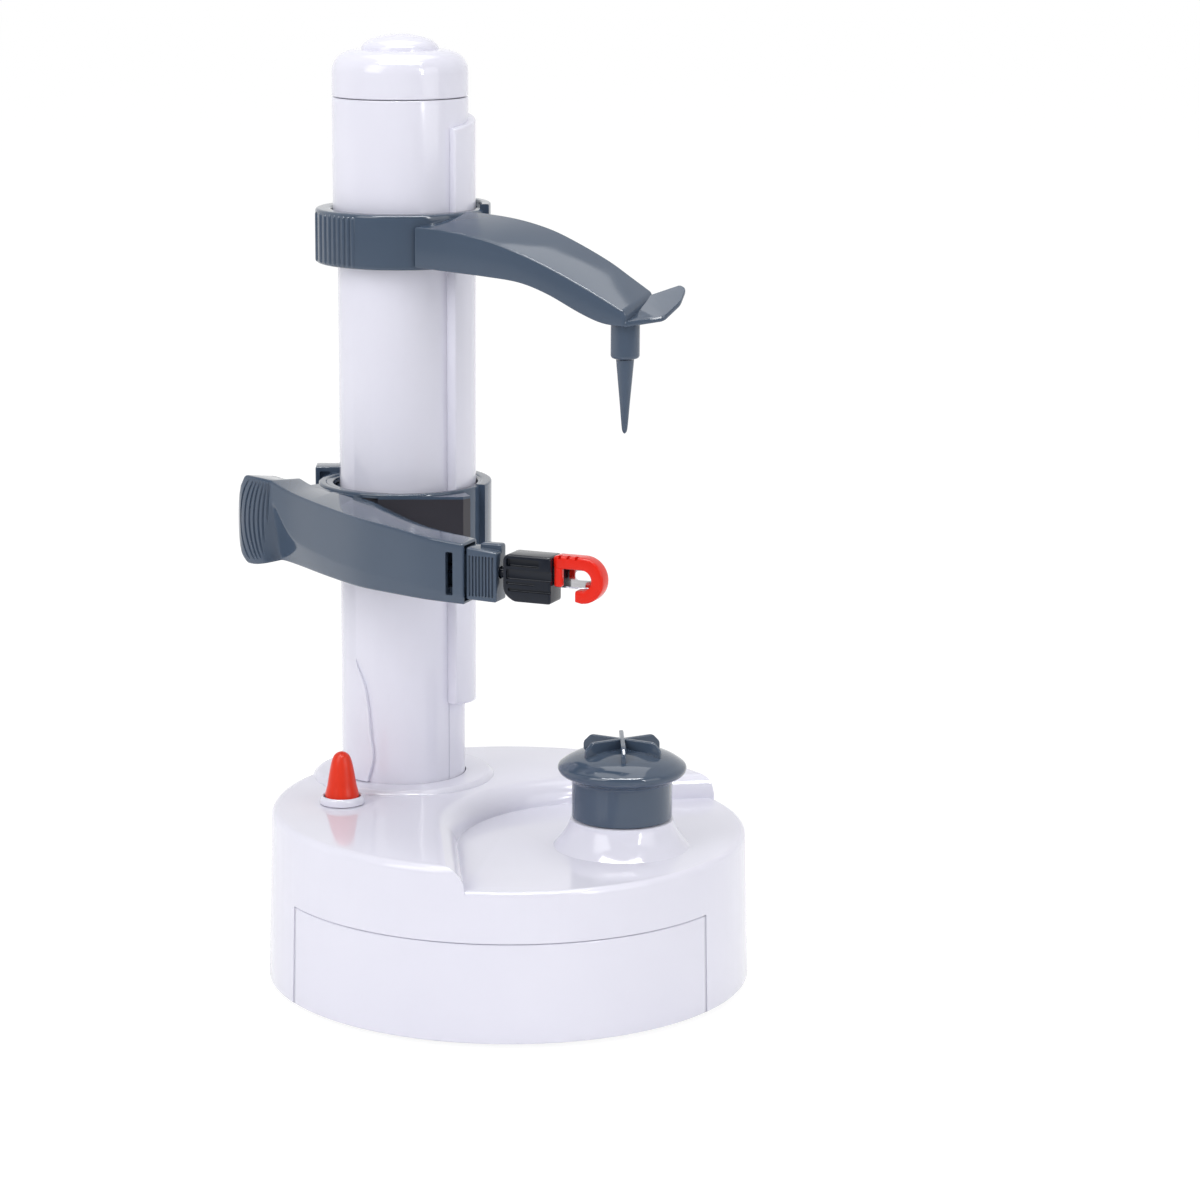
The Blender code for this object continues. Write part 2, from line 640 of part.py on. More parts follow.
def base_tray():
    tray = piece("base_tray", cylinder(TRAY_R, FOOT_HEIGHT, TRAY_TOP, FINE), WHITE, BASE_CENTRE)
    lip_r = TRAY_R - WALL

    def apron(angle):
        return (
            (lip_r, FOOT_HEIGHT), (shell_radius(FOOT_HEIGHT), FOOT_HEIGHT),
            (shell_radius(APRON_TOP), APRON_TOP), (shell_radius(APRON_TOP) - WALL, APRON_TOP),
            (shell_radius(TRAY_TOP) - WALL, TRAY_TOP), (lip_r, TRAY_TOP),
        )

    join(tray, sector(APRON_FROM, APRON_TO, APRON_STEPS, apron))
    for shaft, angle in PILLARS:
        spot = shaft + polar(PLATE_MARGIN - PILLAR_R - THIN_WALL, angle).to_2d()
        join(tray, cylinder(PILLAR_R, FOOT_HEIGHT + GAP, PLATE_Z - GAP, ROUGH), spot)
    join(tray, cylinder(AXLE_R + HUB_WALL, FOOT_HEIGHT + GAP, LOW_LEVEL - LEVEL_GAP, COARSE), FIRST)
    cut(tray, cylinder(AXLE_R + GAP, TRAY_TOP, LOW_LEVEL, ROUGH), FIRST)
    half_length = BAY_LENGTH / 2
    half_width = BAY_WIDTH / 2
    contact_room = CONTACT_THICK + 2 * GAP
    outer = (half_length + contact_room + THIN_WALL, half_width + THIN_WALL)
    join(tray, block(-outer[0], outer[0], -outer[1], outer[1], FOOT_HEIGHT + GAP, BAY_WALL_TOP), BAY)
    cut(tray, block(-half_length - contact_room, half_length + contact_room, -half_width, half_width,
                    TRAY_TOP, BAY_WALL_TOP + OVERRUN), BAY)
    cut(tray, block(-half_length, half_length, -half_width, half_width, -OVERRUN, TRAY_TOP + OVERRUN), BAY)
    for angle in POST_ANGLES:
        spot = BASE_CENTRE + polar(POST_REACH, angle).to_2d()
        cut(tray, cylinder(SCREW_SHANK_R + GAP, 0.0, TRAY_TOP + OVERRUN, ROUGH), spot)
        cut(tray, cylinder(SCREW_HEAD_R + GAP, 0.0, FOOT_HEIGHT + SCREW_HEAD, COARSE), spot)
    for angle in FOOT_ANGLES:
        spot = BASE_CENTRE + polar(FOOT_REACH, angle).to_2d()
        cut(tray, cylinder(FOOT_PEG_R + GAP, 0.0, TRAY_TOP + OVERRUN, ROUGH), spot)


def feet_and_screws():
    for i, angle in enumerate(FOOT_ANGLES):
        spot = BASE_CENTRE + polar(FOOT_REACH, angle).to_2d()
        seat = FOOT_HEIGHT - GAP
        profile = [(0.0, 0.0), (FOOT_R - GAP, 0.0), (FOOT_R, GAP), (FOOT_R, seat), (FOOT_PEG_R, seat),
                   (FOOT_PEG_R, TRAY_TOP), (0.0, TRAY_TOP)]
        piece(f"rubber_foot_{i + 1}", turned(profile, COARSE), RUBBER, spot)
    for i, angle in enumerate(POST_ANGLES):
        spot = BASE_CENTRE + polar(POST_REACH, angle).to_2d()
        head_low = FOOT_HEIGHT + GAP
        head_high = FOOT_HEIGHT + SCREW_HEAD - GAP
        profile = [(0.0, head_low), (SCREW_HEAD_R, head_low), (SCREW_HEAD_R, head_high),
                   (SCREW_SHANK_R, head_high), (SCREW_SHANK_R, FOOT_HEIGHT + SCREW_LENGTH),
                   (0.0, FOOT_HEIGHT + SCREW_LENGTH)]
        piece(f"base_screw_{i + 1}", turned(profile, ROUGH), STEEL, spot)


# Cells, motor and switch

BAY_LENGTH = CELL_LENGTH + CELL_BUTTON + 2 * GAP
BAY_WIDTH = CELLS * CELL_PITCH + 2 * GAP
BAY_WALL_TOP = TRAY_TOP + CELL_R + 2 * GAP
PILLARS = (
    (COLUMN, math.radians(150.0)),
    (TURNTABLE, math.radians(-90.0)),
    (MOTOR, math.radians(215.0)),
    (MIDDLE, math.radians(-90.0)),
)


def along_x(mesh, z):
    """Lays an upright turned shape down along +X at the given height."""
    turn_mesh(mesh, math.pi / 2, "Y")
    bmesh.ops.translate(mesh, verts=mesh.verts, vec=(0.0, 0.0, z))
    return mesh


def battery_door():
    off = axis_point("door_axis", BAY)
    half_length = BAY_LENGTH / 2 - GAP
    half_width = BAY_WIDTH / 2 - GAP
    panel = block(-half_length, half_length, -half_width, half_width, FOOT_HEIGHT, TRAY_TOP - GAP)
    door = piece("battery_door", panel, WHITE, BAY, off)
    grip_reach = half_length - WALL
    for k in range(DOOR_GRIPS):
        x = grip_reach - k * 2 * THIN_WALL
        cut(door, block(x - THIN_WALL, x, -half_width / 3, half_width / 3, -OVERRUN, FOOT_HEIGHT + GAP))


def battery_cells():
    cell_z = TRAY_TOP + CELL_R
    for i in range(CELLS):
        y = (i - (CELLS - 1) / 2) * CELL_PITCH
        spot = BAY + Vector((0.0, y))
        half = (CELL_LENGTH + CELL_BUTTON) / 2
        shoulder = half - CELL_BUTTON
        profile = [(0.0, -half), (CELL_R - GAP, -half), (CELL_R, -half + GAP), (CELL_R, shoulder - GAP),
                   (CELL_R - GAP, shoulder), (CELL_BUTTON_R, shoulder), (CELL_BUTTON_R, half), (0.0, half)]
        cell = turned(profile, COARSE)
        if i % 2:
            turn_mesh(cell, math.pi, "X")
        piece(f"battery_cell_{i + 1}", along_x(cell, cell_z), CELL_JACKET, spot)
    for name, side in (("contact_strip_left", -1), ("contact_strip_right", 1)):
        near = side * (BAY_LENGTH / 2 + GAP)
        far = near + side * CONTACT_THICK
        half_width = BAY_WIDTH / 2 - GAP
        strip = piece(name, block(min(near, far), max(near, far), -half_width, half_width, TRAY_TOP + GAP,
                                  BAY_WALL_TOP + CELL_R / 2), STEEL, BAY)
        cut(strip, block(min(near, far) - OVERRUN, max(near, far) + OVERRUN, -THIN_WALL / 2, THIN_WALL / 2,
                         BAY_WALL_TOP, BAY_WALL_TOP + CELL_R))


def motor():
    low = PLATE_TOP + GAP
    high = low + MOTOR_LENGTH
    boss_r = MOTOR_R * MOTOR_BOSS_SHARE
    neck = high - WALL + THIN_WALL
    profile = [(0.0, low), (MOTOR_R - GAP, low), (MOTOR_R, low + GAP), (MOTOR_R, high - WALL),
               (MOTOR_R - THIN_WALL, neck), (boss_r, neck), (boss_r, high), (0.0, high)]
    can = piece("motor_can", turned(profile, MEDIUM), STEEL, MOTOR)
    flat = MOTOR_R * MOTOR_FLAT_SHARE
    for side in (-1, 1):
        edge = sorted((side * flat, side * 2 * MOTOR_R))
        cut(can, block(edge[0], edge[1], -2 * MOTOR_R, 2 * MOTOR_R, low - OVERRUN, high + OVERRUN))
    cut(can, cylinder(MOTOR_SHAFT_R + GAP, low - OVERRUN, low + WALL, ROUGH))
    spin = axis_point("motor_axis", MOTOR)
    outline = gear_outline(REDUCTION_MODULE, MOTOR_PINION_TEETH, MOTOR_PHASE, 2)
    pinion = piece("motor_pinion", prism(outline, LOW_LEVEL, LOW_LEVEL + GEAR_FACE), BRASS, MOTOR, spin)
    join(pinion, cylinder(MOTOR_SHAFT_R, LOW_LEVEL + GAP, low + WALL - GAP, ROUGH))


def power_switch():
    high = PLATEAU_UNDER - GAP
    half = SWITCH_SIDE / 2
    body = piece("power_switch", block(-half, half, -half, half, high - SWITCH_HEIGHT, high), BLACK, BUTTON)
    cut(body, cylinder(BUTTON_STEM_R + RUN, high - BUTTON_STEM, high + OVERRUN))
    for side in (-1, 1):
        x = side * half / 2
        join(body, block(x - CONTACT_THICK / 2, x + CONTACT_THICK / 2, -THIN_WALL, THIN_WALL,
                         high - SWITCH_HEIGHT - WALL, high - SWITCH_HEIGHT + GAP))
    bezel_low = BASE_TOP + GAP
    bezel_high = bezel_low + BEZEL_HEIGHT - GAP
    inner = BUTTON_R + RUN
    profile = [(inner, bezel_low), (BEZEL_R, bezel_low), (BEZEL_R, bezel_high - GAP),
               (BEZEL_R - GAP, bezel_high), (inner, bezel_high)]
    piece("button_bezel", turned(profile, MEDIUM), WHITE, BUTTON)
    press = axis_point("button_axis", BUTTON)
    low = BASE_TOP + GAP + BUTTON_TRAVEL
    stem_low = high - BUTTON_STEM + BUTTON_TRAVEL + GAP
    profile = [(0.0, stem_low), (BUTTON_STEM_R, stem_low), (BUTTON_STEM_R, low)]
    profile += [(BUTTON_R * r, low + BUTTON_HEIGHT * h) for r, h in BUTTON_SHARES]
    piece("power_button", turned(profile, MEDIUM), RED_RUBBER, BUTTON, press)


# Gear train

def convex_outline(points):
    """The corners of the smallest convex outline round (x, y) points, anticlockwise."""
    outline = []
    for row in (sorted(points), sorted(points, reverse=True)):
        half = []
        for x, y in row:
            while len(half) > 1:
                (back_x, back_y), (last_x, last_y) = half[-2:]
                if (last_x - back_x) * (y - back_y) > (last_y - back_y) * (x - back_x):
                    break
                half.pop()
            half.append((x, y))
        outline += half[:-1]
    return outline


def gearbox_plate():
    rims = []
    for shaft in (COLUMN, TURNTABLE, MOTOR, MIDDLE):
        rims += arc(shaft, PLATE_MARGIN, 0.0, math.tau, 20)[:-1]
    plate = piece("gearbox_plate", prism(convex_outline(rims), PLATE_Z, PLATE_TOP), NYLON)
    top = PLATE_TOP + OVERRUN
    low = PLATE_Z - OVERRUN
    small_tip = REDUCTION_MODULE * (MIDDLE_PINION_TEETH / 2 + 1)
    for shaft, radius in (
        (COLUMN, SCREW_R + RUN), (TURNTABLE, SPINDLE_R + RUN), (IDLER, AXLE_R + GAP), (MIDDLE, AXLE_R + GAP),
        (FIRST, small_tip + GAP + RUN), (MOTOR, MOTOR_SHAFT_R + THIN_WALL),
    ):
        cut(plate, cylinder(radius, low, top), shaft)
    clip = MOTOR_R + GAP
    wall = sector(0.0, math.pi, 12, lambda angle: (
        (clip, PLATE_TOP - GAP), (clip + THIN_WALL, PLATE_TOP - GAP),
        (clip + THIN_WALL, PLATE_TOP + MOTOR_LENGTH / 3), (clip, PLATE_TOP + MOTOR_LENGTH / 3)))
    turn_mesh(wall, CLIP_TURN, "Z")
    join(plate, wall, MOTOR)


def gear_train():
    spins = {
        name: axis_point(f"{name}_axis", at)
        for name, at in (("idler", IDLER), ("middle", MIDDLE), ("first", FIRST))
    }
    idler = gear_outline(DRIVE_MODULE, IDLER_TEETH, IDLER_PHASE)
    gear("idler_gear", IDLER, [(idler, TOP_LEVEL, GEAR_TOP)], HUB_LOW, HUB_TOP, AXLE_R, RUN, spins["idler"])
    middle_wheel = gear_outline(REDUCTION_MODULE, MIDDLE_WHEEL_TEETH, MIDDLE_PHASE, 2)
    output_pinion = gear_outline(DRIVE_MODULE, OUTPUT_PINION_TEETH, MIDDLE_PHASE)
    stages = [(middle_wheel, MIDDLE_LEVEL, MIDDLE_LEVEL + GEAR_FACE), (output_pinion, TOP_LEVEL, GEAR_TOP)]
    gear("compound_gear_2", MIDDLE, stages, HUB_LOW, HUB_TOP, AXLE_R, RUN, spins["middle"])
    first_wheel = gear_outline(REDUCTION_MODULE, FIRST_WHEEL_TEETH, FIRST_PHASE, 2)
    middle_pinion = gear_outline(REDUCTION_MODULE, MIDDLE_PINION_TEETH, FIRST_PHASE, 2)
    neck = MIDDLE_LEVEL - LEVEL_GAP / 2
    stages = [
        (first_wheel, LOW_LEVEL, LOW_LEVEL + GEAR_FACE),
        (middle_pinion, neck - GAP, MIDDLE_LEVEL + GEAR_FACE),
    ]
    gear("compound_gear_1", FIRST, stages, LOW_LEVEL - LEVEL_GAP + RUN, neck, AXLE_R, RUN, spins["first"])
    for name, at, low, high in (
        ("idler_axle", IDLER, PLATE_Z + GAP, HUB_TOP + LEVEL_GAP),
        ("compound_axle_2", MIDDLE, PLATE_Z + GAP, HUB_TOP + LEVEL_GAP),
        ("compound_axle_1", FIRST, TRAY_TOP + GAP, TOP_LEVEL - GAP),
    ):
        piece(name, cylinder(AXLE_R, low, high), STEEL, at)


# Turntable

def turntable():
    spin = axis_point("turntable_axis", TURNTABLE)
    outline = gear_outline(DRIVE_MODULE, TURNTABLE_TEETH, TURNTABLE_PHASE)
    stages = [(outline, TOP_LEVEL, GEAR_TOP)]
    gear("turntable_gear", TURNTABLE, stages, HUB_LOW, HUB_TOP, SPINDLE_R, GAP, spin)
    seat = CUP_BODY_TOP + GAP
    piece("turntable_spindle", cylinder(SPINDLE_R, PLATE_Z, seat, COARSE), STEEL, TURNTABLE, spin)
    hub = SPINDLE_R + GAP
    rim_drop = CUP_RIM_Z - CUP_BOTTOM
    hub_out = hub + WALL
    hub_low = CUP_BOTTOM + THIN_WALL
    roof = CUP_BODY_TOP - WALL
    profile = [
        (0.0, seat + GAP), (hub, seat + GAP), (hub, hub_low), (hub_out, hub_low), (hub_out, roof),
        (CUP_BODY_R - WALL, roof), (CUP_BODY_R - THIN_WALL, CUP_BOTTOM), (CUP_BODY_R, CUP_BOTTOM),
        (CUP_BODY_R + GAP, CUP_BODY_TOP),
    ]
    profile += [(CUP_R * r, CUP_BOTTOM + rim_drop * h) for r, h in CUP_FLARE_SHARES]
    profile.append((0.0, CUP_BOTTOM + rim_drop * CUP_DOME_SHARE))
    cup = piece("food_cup", turned(profile, MEDIUM), SLATE, TURNTABLE, spin)
    foot = CUP_RIM_Z - THIN_WALL
    shoulder = CUP_FIN_TOP - WALL
    fin_outline = [
        (-CUP_FIN_R, foot), (CUP_FIN_R, foot), (CUP_FIN_R, shoulder), (CUP_FIN_R - WALL, CUP_FIN_TOP),
        (-CUP_FIN_R + WALL, CUP_FIN_TOP), (-CUP_FIN_R, shoulder),
    ]
    for i in range(CUP_FINS // 2):
        fin = prism(fin_outline, -CUP_FIN_THICK / 2, CUP_FIN_THICK / 2)
        turn_mesh(fin, math.pi / 2, "X")
        turn_mesh(fin, math.tau * i / CUP_FINS + CUP_FIN_TURN, "Z")
        join(cup, fin)


# Column

def column_tube():
    flange_top = PLATEAU_UNDER - GAP
    flange_low = flange_top - COLUMN_FLANGE
    inner = COLUMN_R - COLUMN_WALL
    profile = [
        (inner, flange_low), (COLUMN_FLANGE_R, flange_low), (COLUMN_FLANGE_R, flange_top),
        (COLUMN_R, flange_top), (COLUMN_R, COLUMN_STEP_Z), (COLUMN_STEP_R, COLUMN_STEP_Z),
        (COLUMN_STEP_R, COLUMN_TOP), (inner, COLUMN_TOP),
    ]
    tube = piece("column_tube", turned(profile, FINE), WHITE, COLUMN)
    root = COLUMN_R - COLUMN_WALL / 2

    def spine(angle):
        slant = SPINE_SLANT * angle / SPINE_HALF / 2
        top = SPINE_TO_Z + slant
        return ((root, SPINE_FROM_Z - slant), (SPINE_R, SPINE_FROM_Z - slant), (SPINE_R, top), (root, top))

    join(tube, sector(-SPINE_HALF, SPINE_HALF, SPINE_STEPS, spine))

    def ramp(angle):
        share = (angle - RAMP_FROM) / (RAMP_TO - RAMP_FROM)
        top = RAMP_TOP_Z - SPINE_SLANT * (1 - share)
        return ((root, PLINTH_TOP + GAP), (COLUMN_R + RAMP_RISE * share, PLINTH_TOP + GAP),
                (COLUMN_R + RAMP_RISE * share, top), (root, top))

    join(tube, sector(RAMP_FROM, RAMP_TO, 8, ramp))
    slot = SLOT_WIDTH / 2
    cut(tube, block(-slot, slot, COLUMN_R / 2, COLUMN_R + OVERRUN, SLOT_FROM_Z, SLOT_TO_Z))
    cut(tube, cylinder(CAP_SKIRT_R + GAP, COLUMN_TOP - CAP_PLUG - GAP, COLUMN_TOP + OVERRUN, MEDIUM))


def column_cap():
    low = COLUMN_TOP + GAP
    shoulder = low + CAP_HEIGHT * CAP_SHOULDER_SHARE
    crown = low + CAP_HEIGHT * CAP_SEAT_SHARE
    crown_r = COLUMN_STEP_R * CAP_CROWN_SHARE
    bend = [
        (crown_r + (COLUMN_STEP_R - crown_r) * math.cos(a), shoulder + (crown - shoulder) * math.sin(a))
        for a in (math.pi / 2 * i / 4 for i in range(5))
    ]
    button_r = COLUMN_STEP_R * CAP_BUTTON_SHARE
    dome = [
        (button_r * math.cos(a), crown + (low + CAP_HEIGHT - crown) * math.sin(a))
        for a in (math.pi / 2 * i / 4 for i in range(4))
    ]
    skirt_in = CAP_SKIRT_R - COLUMN_WALL / 2
    plug_low = COLUMN_TOP - CAP_PLUG + GAP
    profile = [
        (0.0, crown - WALL), (crown_r - WALL, crown - WALL), (skirt_in, shoulder), (skirt_in, plug_low),
        (CAP_SKIRT_R, plug_low), (CAP_SKIRT_R, low), (COLUMN_STEP_R, low),
        *bend, (button_r, crown), *dome[1:], (0.0, low + CAP_HEIGHT),
    ]
    piece("column_cap", turned(profile, FINE), WHITE, COLUMN)


def lead_screw():
    spin = axis_point("screw_axis", COLUMN)
    outline = gear_outline(DRIVE_MODULE, SCREW_TEETH, SCREW_PHASE)
    gear("screw_gear", COLUMN, [(outline, TOP_LEVEL, GEAR_TOP)], HUB_LOW, HUB_TOP, SCREW_R, GAP, spin)
    neck = SCREW_R * SCREW_NECK_SHARE
    bush_low = SCREW_TOP - BUSH_HEIGHT
    profile = [(0.0, PLATE_Z), (SCREW_R, PLATE_Z), (SCREW_R, bush_low - GAP), (neck, bush_low - GAP),
               (neck, SCREW_TOP), (0.0, SCREW_TOP)]
    piece("lead_screw", turned(profile, COARSE), STEEL, COLUMN, spin)
    seat_r = COLUMN_R - COLUMN_WALL - GAP
    profile = [(neck + RUN, bush_low), (seat_r, bush_low), (seat_r, bush_low + THIN_WALL),
               (neck + WALL, bush_low + WALL), (neck + WALL, SCREW_TOP), (neck + RUN, SCREW_TOP)]
    piece("screw_top_bush", turned(profile, MEDIUM), NYLON, COLUMN)


# Lift carriage: the nut inside the column, its key through the slot and the open ring outside

def lift_carriage(lift):
    ring_out = COLLAR_BORE - RUN
    ring_in = COLUMN_R + RUN

    def ring(angle):
        over_ramp = RAMP_RISE if RAMP_FROM - RAMP_LEAD < angle < RAMP_TO + RAMP_LEAD else 0.0
        return (
            (ring_in + over_ramp, CARRIAGE_FROM_Z), (ring_out, CARRIAGE_FROM_Z),
            (ring_out, CARRIAGE_TO_Z), (ring_in + over_ramp, CARRIAGE_TO_Z),
        )

    open_ring = sector(CARRIAGE_HALF_GAP, math.tau - CARRIAGE_HALF_GAP, OPEN_RING_STEPS, ring)
    carriage = piece("lift_carriage", open_ring, SLATE, COLUMN, lift)
    nut_r = SCREW_R + RUN
    key = SLOT_WIDTH / 2 - RUN
    middle = (CARRIAGE_FROM_Z + CARRIAGE_TO_Z) / 2
    low = middle - NUT_HEIGHT / 2
    high = middle + NUT_HEIGHT / 2
    join(carriage, block(-key, key, nut_r + NUT_WALL / 2, ring_in + WALL / 2, low, high))
    join(carriage, cylinder(nut_r + NUT_WALL, low, high, COARSE))
    cut(carriage, cylinder(nut_r, low - OVERRUN, high + OVERRUN, COARSE))


# Peeling arm: a collar on the carriage, a curved channel with a ribbed grip, and the seat of the blade

# Each row holds the front edge (x, y) and the back edge (x, y) as shares of the span, then low and high as
# shares of the depth
ARM_SHARES = (
    (-0.850, -0.050, -0.767, 0.083, -0.09, 1.10),
    (-0.825, -0.142, -0.675, 0.058, -0.09, 1.29),
    (-0.750, -0.225, -0.608, -0.008, -0.07, 1.31),
    (-0.662, -0.283, -0.525, -0.092, 0.00, 1.28),
    (-0.552, -0.413, -0.433, -0.192, 0.00, 1.16),
    (-0.373, -0.680, -0.275, -0.350, 0.00, 1.10),
    (-0.192, -0.930, -0.143, -0.458, 0.00, 1.06),
    (-0.013, -1.092, -0.027, -0.657, 0.00, 1.02),
    (0.147, -1.210, 0.158, -0.950, 0.00, 0.98),
)


def tip_point(along, front, z):
    """A point counted from the arm's tip: along its direction, towards the front, and up."""
    spot = TIP + TIP_ALONG * along + TIP_FRONT * front
    return Vector((spot.x, spot.y, z))


def tip_block(along_from, along_to, front_from, front_to, z_from, z_to):
    corners = ((along_from, front_from), (along_to, front_from), (along_to, front_to), (along_from, front_to))
    return loft([[tip_point(a, f, z) for a, f in corners] for z in (z_from, z_to)])


def tip_prism(outline, front_from, front_to):
    """An outline of (along, height over the blade axis) points, as thick as front_from to front_to."""
    return loft([
        [tip_point(along, front, BLADE_AXIS_Z + height) for along, height in outline]
        for front in (front_from, front_to)
    ])


def tip_rod(radius, along_from, along_to, steps=ROUGH, height=0.0):
    sections = []
    for along in (along_from, along_to):
        ring = (polar(radius, math.tau * i / steps) for i in range(steps))
        sections.append([tip_point(along, p.x, BLADE_AXIS_Z + height + p.y) for p in ring])
    return loft(sections)


def arm_rows():
    rows = [
        [fx * ARM_SPAN, fy * ARM_SPAN, bx * ARM_SPAN, by * ARM_SPAN,
         ARM_LOW_Z + low * ARM_DEPTH, ARM_LOW_Z + high * ARM_DEPTH]
        for fx, fy, bx, by, low, high in ARM_SHARES
    ]
    front = tip_point(0.0, ARM_TIP_WIDTH / 2, 0.0)
    back = tip_point(0.0, -ARM_TIP_WIDTH / 2, 0.0)
    rows.append([front.x, front.y, back.x, back.y, ARM_LOW_Z, ARM_LOW_Z + ARM_END_SHARE * ARM_DEPTH])
    return rows


def arm_section(row):
    fx, fy, bx, by, low, high = row
    front = Vector((fx, fy))
    back = Vector((bx, by))
    inward = (back - front).normalized()
    bevel = front + inward * ((back - front).length - ARM_TIP_WIDTH / 2) * BEVEL_SHARE
    knee = low + (high - low) / 3
    edge = THIN_WALL / 2
    crown = front + inward * edge
    heel = back - inward * edge
    return [
        Vector((bevel.x, bevel.y, low)), Vector((fx, fy, knee)), Vector((fx, fy, high - edge)),
        Vector((crown.x, crown.y, high)), Vector((heel.x, heel.y, high)), Vector((bx, by, high - edge)),
        Vector((bx, by, low)),
    ]


def hollow_section(row, wall):
    fx, fy, bx, by, low, high = row
    inward = (Vector((bx, by)) - Vector((fx, fy))).normalized() * wall
    near = Vector((fx, fy)) + inward * 2
    far = Vector((bx, by)) - inward
    return [
        Vector((near.x, near.y, low - OVERRUN)), Vector((near.x, near.y, high - wall)),
        Vector((far.x, far.y, high - wall)), Vector((far.x, far.y, low - OVERRUN)),
    ]


def peeling_arm(swing):
    outer = COLLAR_BORE + COLLAR_WALL
    collar = turned([(COLLAR_BORE, COLLAR_FROM_Z), (outer, COLLAR_FROM_Z), (outer, COLLAR_TO_Z),
                     (COLLAR_BORE, COLLAR_TO_Z)], FINE)
    arm = piece("peeling_arm", collar, SLATE, COLUMN, swing)
    rows = arm_rows()
    join(arm, loft([arm_section(row) for row in smooth_rows(rows, 2)]))
    cut(arm, loft([hollow_section(row, WALL) for row in smooth_rows(rows[4:8], 2)]))
    back_out = outer + COLLAR_BACK_WALL
    join(arm, sector(*BACK_WALL_ANGLES, BACK_STEPS, lambda angle: (
        (outer - THIN_WALL, COLLAR_FROM_Z - THIN_WALL), (back_out, COLLAR_FROM_Z - THIN_WALL),
        (back_out, COLLAR_TO_Z + THIN_WALL), (outer - THIN_WALL, COLLAR_TO_Z + THIN_WALL))))
    lug_low = COLLAR_TO_Z - ARM_DEPTH * LUG_DROP_SHARE
    lug_top = COLLAR_TO_Z + LUG_RISE
    lug_x = polar(outer, LUG_ANGLE).x - LUG_SIDE / 4
    lug_y = polar(outer, LUG_ANGLE).y
    join(arm, block(lug_x - LUG_SIDE / 2, lug_x + LUG_SIDE / 2, lug_y, lug_y + LUG_SIDE, lug_low, lug_top))
    cut(arm, block(lug_x - LUG_SIDE / 2 + THIN_WALL, lug_x + THIN_WALL / 2, lug_y - OVERRUN,
                   lug_y + THIN_WALL, lug_low + THIN_WALL, lug_top - THIN_WALL))
    web = [polar(outer - THIN_WALL, angle) for angle in WEB_ANGLES]
    fine_rows = smooth_rows(rows, 3)
    for share in WEB_ROW_SHARES:
        front_x, front_y, back_x, back_y = fine_rows[round(share * (len(fine_rows) - 1))][:4]
        back = Vector((back_x, back_y))
        web.append(back + (Vector((front_x, front_y)) - back).normalized() * WALL / 2)
    join(arm, prism(web, COLLAR_FROM_Z + GAP, COLLAR_TO_Z - THIN_WALL))
    front = outer + THIN_WALL / 2
    plate = [polar(outer - THIN_WALL, angle) for angle in PLATE_ANGLES]
    plate += [Vector((front * x, front * y)) for x, y in PLATE_SHARES]
    join(arm, prism(plate, COLLAR_FROM_Z + GAP * 2, COLLAR_TO_Z - GAP * 2))
    lip_in = COLUMN_R + RAMP_RISE + RUN * 2
    join(arm, sector(*LIP_ANGLES, LIP_STEPS, lambda angle: (
        (lip_in, CARRIAGE_TO_Z + RUN), (outer - THIN_WALL, CARRIAGE_TO_Z + RUN),
        (outer - THIN_WALL, COLLAR_TO_Z - GAP), (lip_in, COLLAR_TO_Z - GAP))))
    half_thick = LATCH_THICK / 2 + RUN
    half_high = LATCH_HEIGHT / 2 + RUN
    mouth = LATCH_TRAVEL + RUN
    cut(arm, tip_block(-mouth, OVERRUN, -half_thick, half_thick, BLADE_AXIS_Z - half_high,
                       BLADE_AXIS_Z + half_high))
    tail_end = TAIL_LENGTH + LATCH_TRAVEL + RUN
    tail_half = TAIL_THICK / 2 + RUN
    tail_high = TAIL_HEIGHT / 2 + RUN
    cut(arm, tip_block(-tail_end, -LATCH_TRAVEL / 2, -tail_half, tail_half, BLADE_AXIS_Z - tail_high,
                       BLADE_AXIS_Z + tail_high))
    cut(arm, tip_rod(ROD_R + RUN, -tail_end - ROD_SEAT, -LATCH_TRAVEL))
    window = tail_high - GAP
    cut(arm, tip_block(-mouth - WALL, -mouth - RUN, tail_half / 2, ARM_TIP_WIDTH, BLADE_AXIS_Z - window,
                       BLADE_AXIS_Z + window))
    for k in range(GRIP_RIBS):
        row = smooth_rows(rows[:4], 4)[2 + k]
        front = Vector((row[0], row[1]))
        inward = (Vector((row[2], row[3])) - front).normalized()
        across = Vector((-inward.y, inward.x)) * THIN_WALL / 4
        corners = [front - inward * OVERRUN - across, front - inward * OVERRUN + across,
                   front + inward * THIN_WALL / 2 + across, front + inward * THIN_WALL / 2 - across]
        cut(arm, prism(corners, row[4] + THIN_WALL, row[5] - THIN_WALL))


# Blade group

def blade_latch(slide):
    half_thick = LATCH_THICK / 2
    half_high = LATCH_HEIGHT / 2
    high = BLADE_AXIS_Z + half_high
    low = BLADE_AXIS_Z - half_high
    grip = tip_block(GAP, LATCH_LENGTH, -half_thick, half_thick, low, high)
    latch = piece("blade_latch", grip, SLATE, COLUMN, slide)
    join(latch, tip_block(-TAIL_LENGTH, GAP + WALL, -TAIL_THICK / 2, TAIL_THICK / 2,
                          BLADE_AXIS_Z - TAIL_HEIGHT / 2, BLADE_AXIS_Z + TAIL_HEIGHT / 2))
    cut(latch, tip_rod(ROD_R + RUN, -TAIL_LENGTH - OVERRUN, LATCH_LENGTH + OVERRUN))
    pitch = (LATCH_LENGTH - LATCH_TRAVEL / 2) / LATCH_GROOVES
    for k in range(LATCH_GROOVES):
        start = LATCH_TRAVEL / 3 + k * pitch
        cut(latch, tip_block(start, start + pitch / 2, half_thick - THIN_WALL / 2, half_thick + OVERRUN,
                             low + THIN_WALL, high - THIN_WALL))


